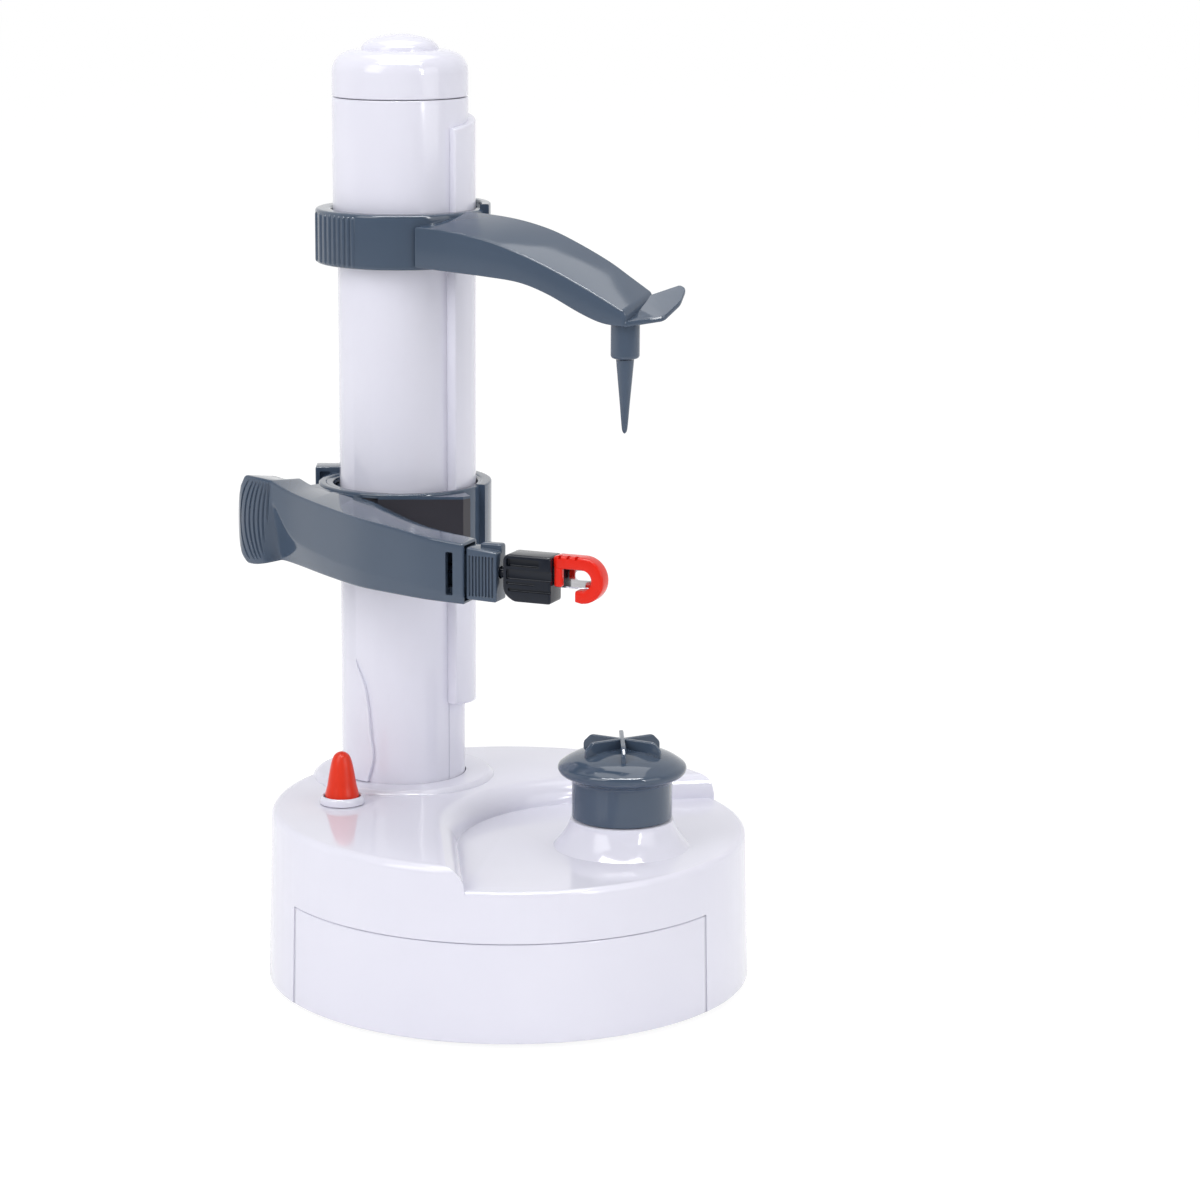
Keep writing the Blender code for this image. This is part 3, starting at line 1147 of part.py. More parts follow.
def blade_head(tilt):
    end = HEAD_START + HEAD_LENGTH
    rod_from = GAP - TAIL_LENGTH - LATCH_TRAVEL - ROD_SEAT
    piece("blade_rod", tip_rod(ROD_R, rod_from, HEAD_START + ROD_SEAT), STEEL, COLUMN, tilt)
    half = HEAD_HEIGHT / 2
    outline = [
        (HEAD_START, half - WALL / 2), (HEAD_START + WALL / 2, half), (end, half), (end, -half),
        (HEAD_START + WALL, -half), (HEAD_START, -half + WALL * HEAD_CORNER_SHARE),
    ]
    head = piece("blade_head", tip_prism(outline, -HEAD_THICK / 2, HEAD_THICK / 2), BLACK, COLUMN, tilt)
    front = HEAD_THICK / 2
    for low_share, high_share in HEAD_GROOVE_SHARES:
        cut(head, tip_block(HEAD_START + THIN_WALL, end + OVERRUN, front - THIN_WALL, front + OVERRUN,
                            BLADE_AXIS_Z + half * low_share, BLADE_AXIS_Z + half * high_share))
    cut(head, tip_rod(ROD_R + GAP, HEAD_START - OVERRUN, HEAD_START + ROD_SEAT + GAP))
    rivet_at = end - RIVET_SETBACK
    cut(head, rivet_rod(RIVET_R + GAP, rivet_at, -front - OVERRUN, -front + WALL))

    guard_start = end + GAP
    bend = guard_start + GUARD_LENGTH - GUARD_HEIGHT / 2
    big = GUARD_HEIGHT / 2
    small = big - GUARD_BAND
    outline = [(guard_start, big)]
    outline += arc((bend, 0.0), big, math.pi / 2, -math.pi / 2, ROUGH)
    outline += [(bend - GUARD_BAND / 2, -big), (bend - GUARD_BAND / 2, -small)]
    outline += arc((bend, 0.0), small, -math.pi / 2, math.pi / 2, 8)
    outline += [(guard_start + GUARD_BAND / 2, small), (guard_start, small - WALL / 2)]
    piece("blade_guard", tip_prism(outline, -GUARD_THICK / 2, GUARD_THICK / 2), RED, COLUMN, tilt)

    back = -front - GAP
    steps = 8
    strip_from = rivet_at - GUARD_BAND
    strip_length = guard_start + GUARD_LENGTH - GUARD_BAND - strip_from
    centre_line = []
    for i in range(steps + 1):
        share = i / steps
        bow = BLADE_BOW * max(0.0, share - 1 / 2) ** 2
        centre_line.append((strip_from + strip_length * share, back - BLADE_THICK - bow))
    band = centre_line + [(along, spot + BLADE_THICK) for along, spot in reversed(centre_line)]
    half_blade = BLADE_HEIGHT / 2
    blade_mesh = loft([
        [tip_point(along, front, BLADE_AXIS_Z + height) for along, front in band]
        for height in (-half_blade, half_blade)
    ])
    blade = piece("peeling_blade", blade_mesh, BLADE_STEEL, COLUMN, tilt)
    cut(blade, tip_block(guard_start + GUARD_BAND, bend + GUARD_BAND / 2, back - OVERRUN * 2, back + OVERRUN,
                         BLADE_AXIS_Z - THIN_WALL, BLADE_AXIS_Z + THIN_WALL))
    cut(blade, rivet_rod(RIVET_R + GAP, rivet_at, back - OVERRUN, back + OVERRUN))
    shank = rivet_rod(RIVET_R, rivet_at, back - BLADE_THICK - GAP * 2, -front + WALL - GAP)
    rivet = piece("blade_rivet", shank, STEEL, COLUMN, tilt)
    join(rivet, rivet_rod(RIVET_R * RIVET_HEAD_SHARE, rivet_at, back - BLADE_THICK - THIN_WALL,
                          back - BLADE_THICK - GAP))


def rivet_rod(radius, along, front_from, front_to, steps=ROUGH):
    sections = []
    for front in (front_from, front_to):
        ring = (polar(radius, math.tau * i / steps) for i in range(steps))
        sections.append([tip_point(along + p.x, front, BLADE_AXIS_Z + p.y) for p in ring])
    return loft(sections)


# Upper arm: a keyed ring, a curved arm, a thumb tab and the socket of the spike

# Each row holds the front edge and the back edge, both along and across the line from column to spike, as
# shares of the span, then low, front crown and back crown as shares of the depth above the ring's underside
UPPER_SHARES = (
    (0.2830, -0.2312, 0.2450, 0.0055, 0.07, 0.795, 0.97),
    (0.4164, -0.2111, 0.3791, 0.0263, 0.036, 0.771, 1.01),
    (0.6106, -0.1820, 0.5730, 0.0511, -0.006, 0.663, 0.952),
    (0.7682, -0.1595, 0.7308, 0.0765, -0.066, 0.47, 0.807),
    (0.8973, -0.1391, 0.8592, 0.0962, -0.235, 0.265, 0.596),
    (1.0407, -0.1169, 1.0038, 0.1154, -0.518, -0.006, 0.307),
    (1.1439, -0.1018, 1.1068, 0.1278, -0.669, -0.217, 0.048),
    (1.2499, -0.0868, 1.2084, 0.1417, -0.705, -0.446, -0.217),
)
# The thumb tab beyond the arm's end, as (along, across, height) shares like those above
TAB_SHARES = (
    (1.2112, -0.0741, -0.60), (1.2499, -0.0868, -0.60), (1.3345, 0.0524, -0.52), (1.3302, 0.1583, -0.30),
    (1.3018, 0.2263, -0.11), (1.2681, 0.2302, -0.08), (1.1964, 0.1220, -0.25), (1.1878, 0.1013, -0.27),
)


def reach_point(along, across):
    return (REACH_ALONG * along + REACH_ACROSS * across) * UPPER_SPAN


def upper_section(row):
    fx, fy, bx, by, low, front_high, back_high = row
    inward = (Vector((bx, by)) - Vector((fx, fy))).normalized() * THIN_WALL / 2
    return [
        Vector((fx, fy, low)), Vector((fx, fy, front_high - THIN_WALL / 2)),
        Vector((fx + inward.x, fy + inward.y, front_high)), Vector((bx - inward.x, by - inward.y, back_high)),
        Vector((bx, by, back_high - THIN_WALL / 2)), Vector((bx, by, low)),
    ]


def upper_hollow(row):
    fx, fy, bx, by, low, front_high, back_high = row
    inward = (Vector((bx, by)) - Vector((fx, fy))).normalized() * WALL
    near = (fx + inward.x, fy + inward.y)
    far = (bx - inward.x, by - inward.y)
    return [
        Vector((*near, low - OVERRUN)), Vector((*near, front_high - WALL)), Vector((*far, back_high - WALL)),
        Vector((*far, low - OVERRUN)),
    ]


def upper_arm(lift):
    bore = COLUMN_STEP_R + RUN
    outer = COLUMN_STEP_R + RUN + RING_WALL
    profile = [(bore, RING_FROM_Z), (outer, RING_FROM_Z), (outer, RING_TO_Z), (bore, RING_TO_Z)]
    arm = piece("upper_arm", turned(profile, FINE), SLATE, COLUMN, lift)
    rows = []
    for row in UPPER_SHARES:
        heights = [RING_FROM_Z + share * UPPER_DEPTH for share in row[4:]]
        rows.append([*reach_point(*row[:2]), *reach_point(*row[2:4]), *heights])
    join(arm, loft([upper_section(row) for row in smooth_rows(rows, 2)]))
    cut(arm, loft([upper_hollow(row) for row in smooth_rows(rows[2:6], 2)]))
    tab = [Vector((*reach_point(x, y), RING_FROM_Z + z * UPPER_DEPTH)) for x, y, z in TAB_SHARES]
    join(arm, loft([[p - Vector((0.0, 0.0, TAB_THICK)) for p in tab], tab]))
    for k in range(RING_GRIPS):
        middle = RING_GRIP_FROM + RING_GRIP_PITCH * k
        join(arm, sector(middle - RING_GRIP_HALF, middle + RING_GRIP_HALF, 1, lambda angle: (
            (outer - GAP, RING_FROM_Z + GAP), (outer + RING_GRIP, RING_FROM_Z + GAP),
            (outer + RING_GRIP, RING_TO_Z - GAP), (outer - GAP, RING_TO_Z - GAP))))
    join(arm, sector(*RING_BACK_ANGLES, BACK_STEPS, lambda angle: (
        (outer - THIN_WALL, RING_FROM_Z), (outer + THIN_WALL, RING_FROM_Z),
        (outer + THIN_WALL, RING_TO_Z + THIN_WALL), (outer - THIN_WALL, RING_TO_Z + THIN_WALL))))
    low = RING_FROM_Z - UPPER_DEPTH
    high = RING_TO_Z + UPPER_DEPTH
    cut(arm, cylinder(bore, low, high, FINE))
    key_half = SPINE_HALF + RUN / COLUMN_R
    cut(arm, sector(-key_half, key_half, KEY_STEPS, lambda angle: (
        (bore - OVERRUN, low), (SPINE_R + RUN, low), (SPINE_R + RUN, high), (bore - OVERRUN, high))))
    socket_top = SOCKET_BOTTOM + SOCKET_LENGTH + THIN_WALL
    profile = [(0.0, SOCKET_BOTTOM), (SOCKET_R - GAP * 2, SOCKET_BOTTOM), (SOCKET_R, SOCKET_BOTTOM + GAP * 2),
               (SOCKET_R, socket_top), (0.0, socket_top)]
    join(arm, turned(profile, MEDIUM), TURNTABLE)
    shaft_top = SOCKET_BOTTOM + SPIKE_SHAFT + GAP
    cut(arm, cylinder(SPIKE_SHAFT_R + RUN, SOCKET_BOTTOM - OVERRUN, shaft_top), TURNTABLE)


def food_spike(lift):
    spin = axis_point("spike_axis", TURNTABLE, 0.0, lift)
    top = SOCKET_BOTTOM - GAP
    profile = [(SPIKE_R * r, top - SPIKE_LENGTH * h) for r, h in SPIKE_SHARES]
    profile += [(SPIKE_SHAFT_R, top), (SPIKE_SHAFT_R, top + SPIKE_SHAFT), (0.0, top + SPIKE_SHAFT)]
    piece("food_spike", turned(profile, COARSE), SLATE, TURNTABLE, spin)


base_upper_shell()
base_tray()
feet_and_screws()
battery_door()
battery_cells()
motor()
power_switch()
gearbox_plate()
gear_train()
turntable()
column_tube()
column_cap()
lead_screw()
carriage_lift = axis_point("carriage_axis", COLUMN)
arm_swing = axis_point("arm_swing_axis", COLUMN, 0.0, carriage_lift)
lift_carriage(carriage_lift)
peeling_arm(arm_swing)
blade_latch(arm_swing)
blade_head(arm_swing)
upper_lift = axis_point("upper_arm_axis", COLUMN)
upper_arm(upper_lift)
food_spike(upper_lift)
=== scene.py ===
"""Looks of the battery-driven rotary potato peeler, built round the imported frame."""

import json
import math

import bmesh
import bpy
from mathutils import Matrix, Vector


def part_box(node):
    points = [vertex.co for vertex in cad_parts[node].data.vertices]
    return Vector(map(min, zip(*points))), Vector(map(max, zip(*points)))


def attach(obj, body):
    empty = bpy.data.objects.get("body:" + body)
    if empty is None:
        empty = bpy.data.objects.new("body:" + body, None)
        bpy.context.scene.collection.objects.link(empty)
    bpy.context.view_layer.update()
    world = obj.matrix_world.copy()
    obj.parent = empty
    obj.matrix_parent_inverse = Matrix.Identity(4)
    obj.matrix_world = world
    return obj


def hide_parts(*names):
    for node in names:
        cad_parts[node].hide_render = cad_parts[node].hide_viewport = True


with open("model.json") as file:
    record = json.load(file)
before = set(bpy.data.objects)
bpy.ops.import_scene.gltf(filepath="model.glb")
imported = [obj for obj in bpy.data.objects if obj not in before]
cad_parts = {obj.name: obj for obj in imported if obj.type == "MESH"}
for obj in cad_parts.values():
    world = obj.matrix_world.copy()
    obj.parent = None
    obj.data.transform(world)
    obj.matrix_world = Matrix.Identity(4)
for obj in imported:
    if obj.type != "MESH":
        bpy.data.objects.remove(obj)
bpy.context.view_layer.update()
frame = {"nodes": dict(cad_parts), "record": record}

MM = 0.001

# Camera

CAMERA_PLACE = (2.4 * MM, -1064.2 * MM, 343.0 * MM)
CAMERA_PITCH = math.radians(11.96)
CAMERA_LENS = 107.7
SENSOR_WIDTH = 36.0
PHOTO_WIDTH = 1200.0
PHOTO_SHIFT = 100.0
CLIP_START = 50.0 * MM
CLIP_END = 30.0

camera_data = bpy.data.cameras.new("camera")
camera_data.sensor_width = SENSOR_WIDTH
camera_data.lens = CAMERA_LENS
camera_data.shift_x = PHOTO_SHIFT / PHOTO_WIDTH
camera_data.clip_start = CLIP_START
camera_data.clip_end = CLIP_END
camera = bpy.data.objects.new("camera", camera_data)
camera.location = CAMERA_PLACE
camera.rotation_euler = (math.pi / 2 - CAMERA_PITCH, 0.0, 0.0)
bpy.context.scene.collection.objects.link(camera)
bpy.context.scene.camera = camera
bpy.context.scene.view_settings.view_transform = "Standard"


# Materials

# Where most of a noise's values lie
NOISE_FROM = 0.3
NOISE_TO = 0.7
# Scales of the noises, counted per metre
DRIFT_SCALE = 18.0
SMEAR_SCALE = 70.0
GRAIN_SCALE = 900.0
BRUSHED_SCALE = 600.0
RIPPLE_DEPTH = 0.015 * MM
BRUSHED_DEPTH = 0.01 * MM


def shader_material(name):
    made = bpy.data.materials.new(name)
    made.use_nodes = True
    return made, made.node_tree.nodes, made.node_tree.links, made.node_tree.nodes["Principled BSDF"]


def node(nodes, kind, values):
    """A new node with values for some of its inputs."""
    made = nodes.new(kind)
    for name, value in values.items():
        made.inputs[name].default_value = value
    return made


def noise(nodes, links, scale, detail, roughness=0.55, stretch=None):
    """A noise texture in the piece's own coordinates, whose scale is counted per metre."""
    texture = node(nodes, "ShaderNodeTexNoise", {"Scale": scale, "Detail": detail, "Roughness": roughness})
    place = nodes.new("ShaderNodeTexCoord").outputs["Object"]
    if stretch:
        mapping = node(nodes, "ShaderNodeMapping", {"Scale": stretch})
        links.new(place, mapping.inputs["Vector"])
        place = mapping.outputs["Vector"]
    links.new(place, texture.inputs["Vector"])
    return texture.outputs["Fac"]


def ramp(nodes, links, source, low, high):
    made = nodes.new("ShaderNodeValToRGB")
    made.color_ramp.elements[0].position = NOISE_FROM
    made.color_ramp.elements[1].position = NOISE_TO
    made.color_ramp.elements[0].color = (*low, 1.0)
    made.color_ramp.elements[1].color = (*high, 1.0)
    links.new(source, made.inputs["Fac"])
    return made.outputs["Color"]


def spread(nodes, links, source, low, high, start=NOISE_FROM, end=NOISE_TO):
    """A source whose values from start to end run from low to high."""
    limits = {"From Min": start, "From Max": end, "To Min": low, "To Max": high}
    made = node(nodes, "ShaderNodeMapRange", limits)
    links.new(source, made.inputs["Value"])
    return made.outputs["Result"]


def bump(nodes, links, shader, source, distance, strength):
    made = node(nodes, "ShaderNodeBump", {"Distance": distance, "Strength": strength})
    links.new(source, made.inputs["Height"])
    links.new(made.outputs["Normal"], shader.inputs["Normal"])


def moulded(name, low, high, gloss, grain=GRAIN_SCALE, depth=RIPPLE_DEPTH, ior=1.5):
    """Moulded plastic: slow colour drift, uneven gloss and the fine ripple of a tool's surface."""
    made, nodes, links, shader = shader_material(name)
    drift = noise(nodes, links, DRIFT_SCALE, 2.0)
    links.new(ramp(nodes, links, drift, low, high), shader.inputs["Base Color"])
    smear = noise(nodes, links, SMEAR_SCALE, 4.0, 0.6)
    links.new(spread(nodes, links, smear, *gloss), shader.inputs["Roughness"])
    bump(nodes, links, shader, noise(nodes, links, grain, 2.0), depth, 0.5)
    shader.inputs["IOR"].default_value = ior
    return made


def metal(name, low, high, gloss, stretch):
    """Worked metal with a fine directional grain."""
    made, nodes, links, shader = shader_material(name)
    lines = noise(nodes, links, BRUSHED_SCALE, 4.0, 0.6, stretch)
    links.new(ramp(nodes, links, lines, low, high), shader.inputs["Base Color"])
    links.new(spread(nodes, links, lines, *gloss), shader.inputs["Roughness"])
    shader.inputs["Metallic"].default_value = 1.0
    bump(nodes, links, shader, lines, BRUSHED_DEPTH, 0.4)
    return made


# Each finish has two colours to drift between, its least and most roughness, then the grain's scale and depth
FINISHES = {
    "white_plastic": moulded("white_gloss", (0.745, 0.74, 0.84), (0.775, 0.77, 0.865), (0.09, 0.14),
                             420.0, 0.003 * MM),
    "slate_plastic": moulded("slate_gloss", (0.057, 0.083, 0.127), (0.065, 0.093, 0.141), (0.06, 0.11),
                             380.0, 0.004 * MM),
    # A darker slate that paints shade and a dim reflection onto the collar's front
    "slate_painted_shade": moulded("slate_painted_shade", (0.040, 0.038, 0.046), (0.050, 0.047, 0.056), (0.10, 0.16),
                           380.0, 0.004 * MM),
    "black_plastic": moulded("black_gloss", (0.006, 0.009, 0.017), (0.010, 0.014, 0.025), (0.12, 0.20),
                             420.0, 0.005 * MM, 1.4),
    "red_plastic": moulded("red_gloss", (0.72, 0.014, 0.006), (0.80, 0.024, 0.009), (0.14, 0.22),
                           400.0, 0.006 * MM, 1.33),
    "red_rubber": moulded("red_soft", (0.70, 0.026, 0.008), (0.78, 0.038, 0.012), (0.28, 0.38),
                          500.0, 0.01 * MM, 1.33),
    "steel": metal("drawn_steel", (0.52, 0.52, 0.53), (0.66, 0.66, 0.67), (0.18, 0.34), (1.0, 1.0, 0.05)),
    "blade_steel": metal("polished_steel", (0.70, 0.70, 0.72), (0.80, 0.80, 0.82), (0.06, 0.16),
                         (0.2, 0.2, 4.0)),
    "brass": metal("cut_brass", (0.62, 0.44, 0.18), (0.76, 0.56, 0.26), (0.2, 0.35), (1.0, 1.0, 0.1)),
    "nylon": moulded("natural_nylon", (0.74, 0.72, 0.62), (0.82, 0.80, 0.70), (0.40, 0.55),
                     GRAIN_SCALE, 0.03 * MM),
    "rubber": moulded("black_rubber", (0.020, 0.020, 0.022), (0.035, 0.035, 0.038), (0.65, 0.85),
                      1500.0, 0.05 * MM),
    "cell_jacket": moulded("cell_film", (0.07, 0.08, 0.09), (0.10, 0.11, 0.12), (0.25, 0.40), 700.0),
}
SLOT_OF = {row["node"]: row["material_slot"] for row in frame["record"]["subparts"]}
for name, shown in frame["nodes"].items():
    shown.data.materials.clear()
    shown.data.materials.append(FINISHES[SLOT_OF[name]])


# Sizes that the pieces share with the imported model

GAP = 0.3 * MM
RUN = 0.4 * MM
WALL = 2.4 * MM
THIN_WALL = 1.4 * MM
OVERRUN = 3.0 * MM

BASE_CENTRE = Vector((5.0, 0.0)) * MM
BASE_R = 73.8 * MM
BASE_DRAFT = 1.3 * MM
BASE_TOP = 54.0 * MM
BASE_EDGE = 2.6 * MM
BASE_HEM = 0.5 * MM
FOOT_HEIGHT = 1.5 * MM
TRAY_TOP = FOOT_HEIGHT + WALL
APRON_TOP = 31.3 * MM
APRON_FROM = math.radians(209.0)
APRON_TO = math.radians(323.0)
APRON_SETBACK = 0.12 * MM
PLATEAU_UNDER = BASE_TOP - WALL
RECESS_DEPTH = 7.0 * MM
RECESS_FLOOR = BASE_TOP - RECESS_DEPTH
RECESS_R = 49.5 * MM
RECESS_FROM = math.radians(98.0)
RECESS_TO = math.radians(183.0)
RECESS_LENGTH = 110.0 * MM
RECESS_RIM = 1.8 * MM
FLOOR_DROP = 2.2 * MM
CONE_FOOT_R = 20.5 * MM
CONE_TOP_R = 15.5 * MM
CONE_HEIGHT = 8.5 * MM
CONE_FLARE = 1.6
PLINTH_R = 28.5 * MM
PLINTH_HEIGHT = 1.5 * MM
PLINTH_TOP = BASE_TOP + PLINTH_HEIGHT
POST_R = 3.4 * MM
POST_REACH = BASE_R - 9.8 * MM
POST_ANGLES = tuple(math.radians(a) for a in (45.0, 160.0, 225.0, 285.0))
SCREW_HOLE_R = 1.3 * MM
SCREW_DEPTH = 9.0 * MM

COLUMN = BASE_CENTRE + Vector((-33.0, 35.8)) * MM
COLUMN_R = 19.4 * MM
COLUMN_STEP_R = 20.8 * MM
COLUMN_STEP_Z = 226.0 * MM
COLUMN_WALL = 2.2 * MM
COLUMN_TOP = 266.6 * MM
SPINE_R = 23.0 * MM
SPINE_HALF = math.radians(43.0)
SPINE_FROM_Z = 78.0 * MM
SPINE_TO_Z = 260.0 * MM
SPINE_SLANT = 4.0 * MM
RAMP_TOP_Z = 95.0 * MM
RAMP_RISE = 1.2 * MM
SLOT_WIDTH = 6.4 * MM
SLOT_FROM_Z = 78.0 * MM
SLOT_TO_Z = 192.0 * MM
CAP_HEIGHT = 18.6 * MM
CAP_PLUG = 8.0 * MM
CAP_SKIRT_R = COLUMN_R - COLUMN_WALL / 2

TURNTABLE = COLUMN + Vector((67.0, -57.9)) * MM
SPINDLE_R = 3.0 * MM
CUP_R = 19.3 * MM
CUP_BODY_R = 15.05 * MM
CUP_BOTTOM = 56.0 * MM
CUP_RIM_Z = 71.3 * MM
CUP_FIN_TOP = 80.0 * MM
CUP_FIN_R = 13.0 * MM
CUP_FIN_THICK = 1.4 * MM
CUP_FINS = 6
CUP_FIN_TURN = math.radians(30.0)

BUTTON = COLUMN + Vector((-18.0, -36.0)) * MM
BUTTON_R = 5.2 * MM
BUTTON_HEIGHT = 14.0 * MM
BEZEL_R = 6.8 * MM

COLLAR_FROM_Z = 127.0 * MM
COLLAR_TO_Z = 148.2 * MM
COLLAR_BORE = SPINE_R + RUN
COLLAR_OUT = COLLAR_BORE + 2.5 * MM
CARRIAGE_FROM_Z = 129.0 * MM
CARRIAGE_TO_Z = 145.8 * MM
TIP = Vector((21.6, -74.2)) * MM
TIP_ANGLE = math.radians(-24.0)
TIP_WIDTH = 10.0 * MM
ARM_SPAN = 60.0 * MM
ARM_LOW_Z = 125.4 * MM
ARM_DEPTH = 20.0 * MM
BLADE_AXIS_Z = 134.8 * MM
LATCH_TRAVEL = 3.0 * MM
LATCH_DROP = 0.6 * MM

RING_FROM_Z = 216.4 * MM
RING_TO_Z = 233.0 * MM
RING_BORE = COLUMN_STEP_R + RUN
RING_OUT = RING_BORE + 5.0 * MM
UPPER_SPAN = 75.0 * MM
UPPER_DEPTH = 16.6 * MM
SOCKET_R = 4.3 * MM
SOCKET_BOTTOM = 194.5 * MM
SOCKET_LENGTH = 10.2 * MM
SPIKE_R = 2.7 * MM
SPIKE_LENGTH = 22.0 * MM
SPIKE_SHAFT_R = 1.7 * MM
SPIKE_SHAFT = 9.0 * MM

# How fine the round surfaces are, as steps of a full turn or of the stretch that is named
ROUND = 160
HALF_ROUND = 96
SMALL_ROUND = 48
PIN_ROUND = 32
POST_ROUND = 24
RIB_ROUND = 20
APRON_STEPS = 80
APRON_SKIN_STEPS = 120
BOWL_STEPS = 60
RING_STEPS = 40
EDGE_STEPS = 10
ROW_PARTS = 7
# Points of a mesh that lie closer than this become one
SLIVER = 0.0002 * MM
# What keeps one surface from lying in another
HAIR = 0.02 * MM


# Shapes

def polar(radius, angle, z=0.0):
    return Vector((radius * math.cos(angle), radius * math.sin(angle), z))


def arc(centre, radius, angle_from, angle_to, steps):
    turns = (angle_to - angle_from) / steps
    return [
        Vector((centre[0] + radius * math.cos(angle), centre[1] + radius * math.sin(angle)))
        for angle in (angle_from + turns * i for i in range(steps + 1))
    ]


def quarter_turns(steps):
    return [math.pi / 2 * i / steps for i in range(steps + 1)]


def round_edge(rim, top, radius):
    """The rounded upper edge of a turned profile."""
    return arc((rim - radius, top - radius), radius, 0.0, math.pi / 2, EDGE_STEPS)


def rounding(radius, steps):
    """A quarter round step by step: how far along it is, and how far it draws in there."""
    return [(radius * (1 - math.cos(turn)), radius * (1 - math.sin(turn))) for turn in quarter_turns(steps)]


def rectangle(left, right, low, high):
    return [(left, low), (right, low), (right, high), (left, high)]


def soften(corners, radius, steps=4, closed=True, least=0.0):
    """Rounds the corners that turn by more than the least angle; the ends of an open outline stay."""
    most_share = 0.45
    points = [Vector(corner) for corner in corners]
    rounded = []
    count = len(points)
    for i, corner in enumerate(points):
        if not closed and i in (0, count - 1):
            rounded.append(corner)
            continue
        to_before = points[i - 1] - corner
        to_after = points[(i + 1) % count] - corner
        if to_before.angle(-to_after) < least:
            rounded.append(corner)
            continue
        start = corner + to_before.normalized() * min(radius, to_before.length * most_share)
        end = corner + to_after.normalized() * min(radius, to_after.length * most_share)
        for k in range(steps + 1):
            t = k / steps
            rounded.append(start * (1 - t) ** 2 + corner * 2 * t * (1 - t) + end * t * t)
    return rounded


def faced_out(mesh):
    """A closed mesh whose faces all look outwards."""
    bmesh.ops.recalc_face_normals(mesh, faces=mesh.faces)
    if mesh.calc_volume(signed=True) < 0:
        bmesh.ops.reverse_faces(mesh, faces=mesh.faces)
    return mesh


def close_end(mesh, ring, top):
    """Closes a ring by a strip between its two sides, of which the first ends at the point numbered top."""
    a = 0
    b = len(ring) - 1
    while a < top or b > top + 1:
        if b == top + 1 or (a < top and ring[a + 1].co.z <= ring[b - 1].co.z):
            mesh.faces.new((ring[a], ring[a + 1], ring[b]))
            a += 1
        else:
            mesh.faces.new((ring[a], ring[b - 1], ring[b]))
            b -= 1


def loft(sections, top=None):
    """A closed skin over sections that have the same number of points; top is given for bowed ends."""
    mesh = bmesh.new()
    rows = [[mesh.verts.new(point) for point in section] for section in sections]
    count = len(rows[0])
    for low, high in zip(rows, rows[1:]):
        for i in range(count):
            j = (i + 1) % count
            mesh.faces.new((low[i], low[j], high[j], high[i]))
    for end in (rows[0], rows[-1]):
        if top is None:
            mesh.faces.new(end)
        else:
            close_end(mesh, end, top)
    if len(sections) > 2:
        bmesh.ops.triangulate(mesh, faces=mesh.faces)
    return faced_out(mesh)


def turned(profile, at, steps=ROUND):
    """A profile of (radius, z) points turned about an upright axis at a place."""
    mesh = bmesh.new()
    rows = []
    for radius, z in profile:
        count = steps if radius > 0 else 1
        row = [polar(radius, math.tau * i / steps, z) for i in range(count)]
        rows.append([mesh.verts.new((p.x + at[0], p.y + at[1], p.z)) for p in row])
    pairs = list(zip(rows, rows[1:]))
    if profile[0][0] > 0:
        pairs.append((rows[-1], rows[0]))
    for a, b in pairs:
        for i in range(steps):
            j = (i + 1) % steps
            if len(a) == 1:
                mesh.faces.new((a[0], b[j], b[i]))
            elif len(b) == 1:
                mesh.faces.new((a[i], a[j], b[0]))
            else:
                mesh.faces.new((a[i], a[j], b[j], b[i]))
    return faced_out(mesh)


def cylinder(radius, low, high, at, steps=SMALL_ROUND):
    return turned([(0.0, low), (radius, low), (radius, high), (0.0, high)], at, steps)


def sector(angle_from, angle_to, steps, at, profile):
    """A profile of (radius, z) points, or a function that gives it at an angle, swept partly round."""
    sections = []
    for i in range(steps + 1):
        angle = angle_from + (angle_to - angle_from) * i / steps
        shift = Vector((at[0], at[1], 0.0))
        points = profile(angle) if callable(profile) else profile
        sections.append([polar(radius, angle, z) + shift for radius, z in points])
    return loft(sections)


def prism(outline, low, high):
    return loft([[Vector((p[0], p[1], z)) for p in outline] for z in (low, high)])


def anticlockwise(outline):
    area = sum(a.x * b.y - b.x * a.y for a, b in zip(outline, outline[1:] + outline[:1]))
    return outline[::-1] if area < 0 else outline


def inset_outline(outline, distance):
    """An anticlockwise outline of flat points, moved inwards by a distance."""
    moved = []
    count = len(outline)
    for i, corner in enumerate(outline):
        before = (corner - outline[i - 1]).normalized()
        after = (outline[(i + 1) % count] - corner).normalized()
        middle = (before + after).normalized()
        inward = Vector((-middle.y, middle.x))
        moved.append(corner + inward * distance / max(0.5, before.dot(middle)))
    return moved


def pillow(outline, low, high, edge, place, steps=4):
    """An outline as thick as low to high with rounded edges; place(point, level) puts it in the scene."""
    outline = anticlockwise(outline)
    levels = [(low + rise, inset) for inset, rise in rounding(edge, steps)[::-1]]
    levels += [(high - (level - low), inset) for level, inset in reversed(levels)]
    return loft([[place(p, level) for p in inset_outline(outline, inset)] for level, inset in levels])


def upright(point, level):
    return Vector((point.x, point.y, level))


def smooth_rows(rows, parts):
    """Catmull-Rom rows between the given rows of numbers."""
    result = []
    for k in range(len(rows) - 1):
        before = rows[max(k - 1, 0)]
        after = rows[min(k + 2, len(rows) - 1)]
        for step in range(parts):
            t = step / parts
            row = []
            for a, b, c, d in zip(before, rows[k], rows[k + 1], after):
                bend = 2 * a - 5 * b + 4 * c - d
                row.append((2 * b + (c - a) * t + bend * t * t + (3 * b - a - 3 * c + d) * t ** 3) / 2)
            result.append(row)
    result.append(list(rows[-1]))
    return result


def row_at(rows, station):
    """The row at a place between the given rows."""
    station = min(max(station, 0.0), len(rows) - 1.0)
    k = min(int(station), len(rows) - 2)
    return [a + (b - a) * (station - k) for a, b in zip(rows[k], rows[k + 1])]


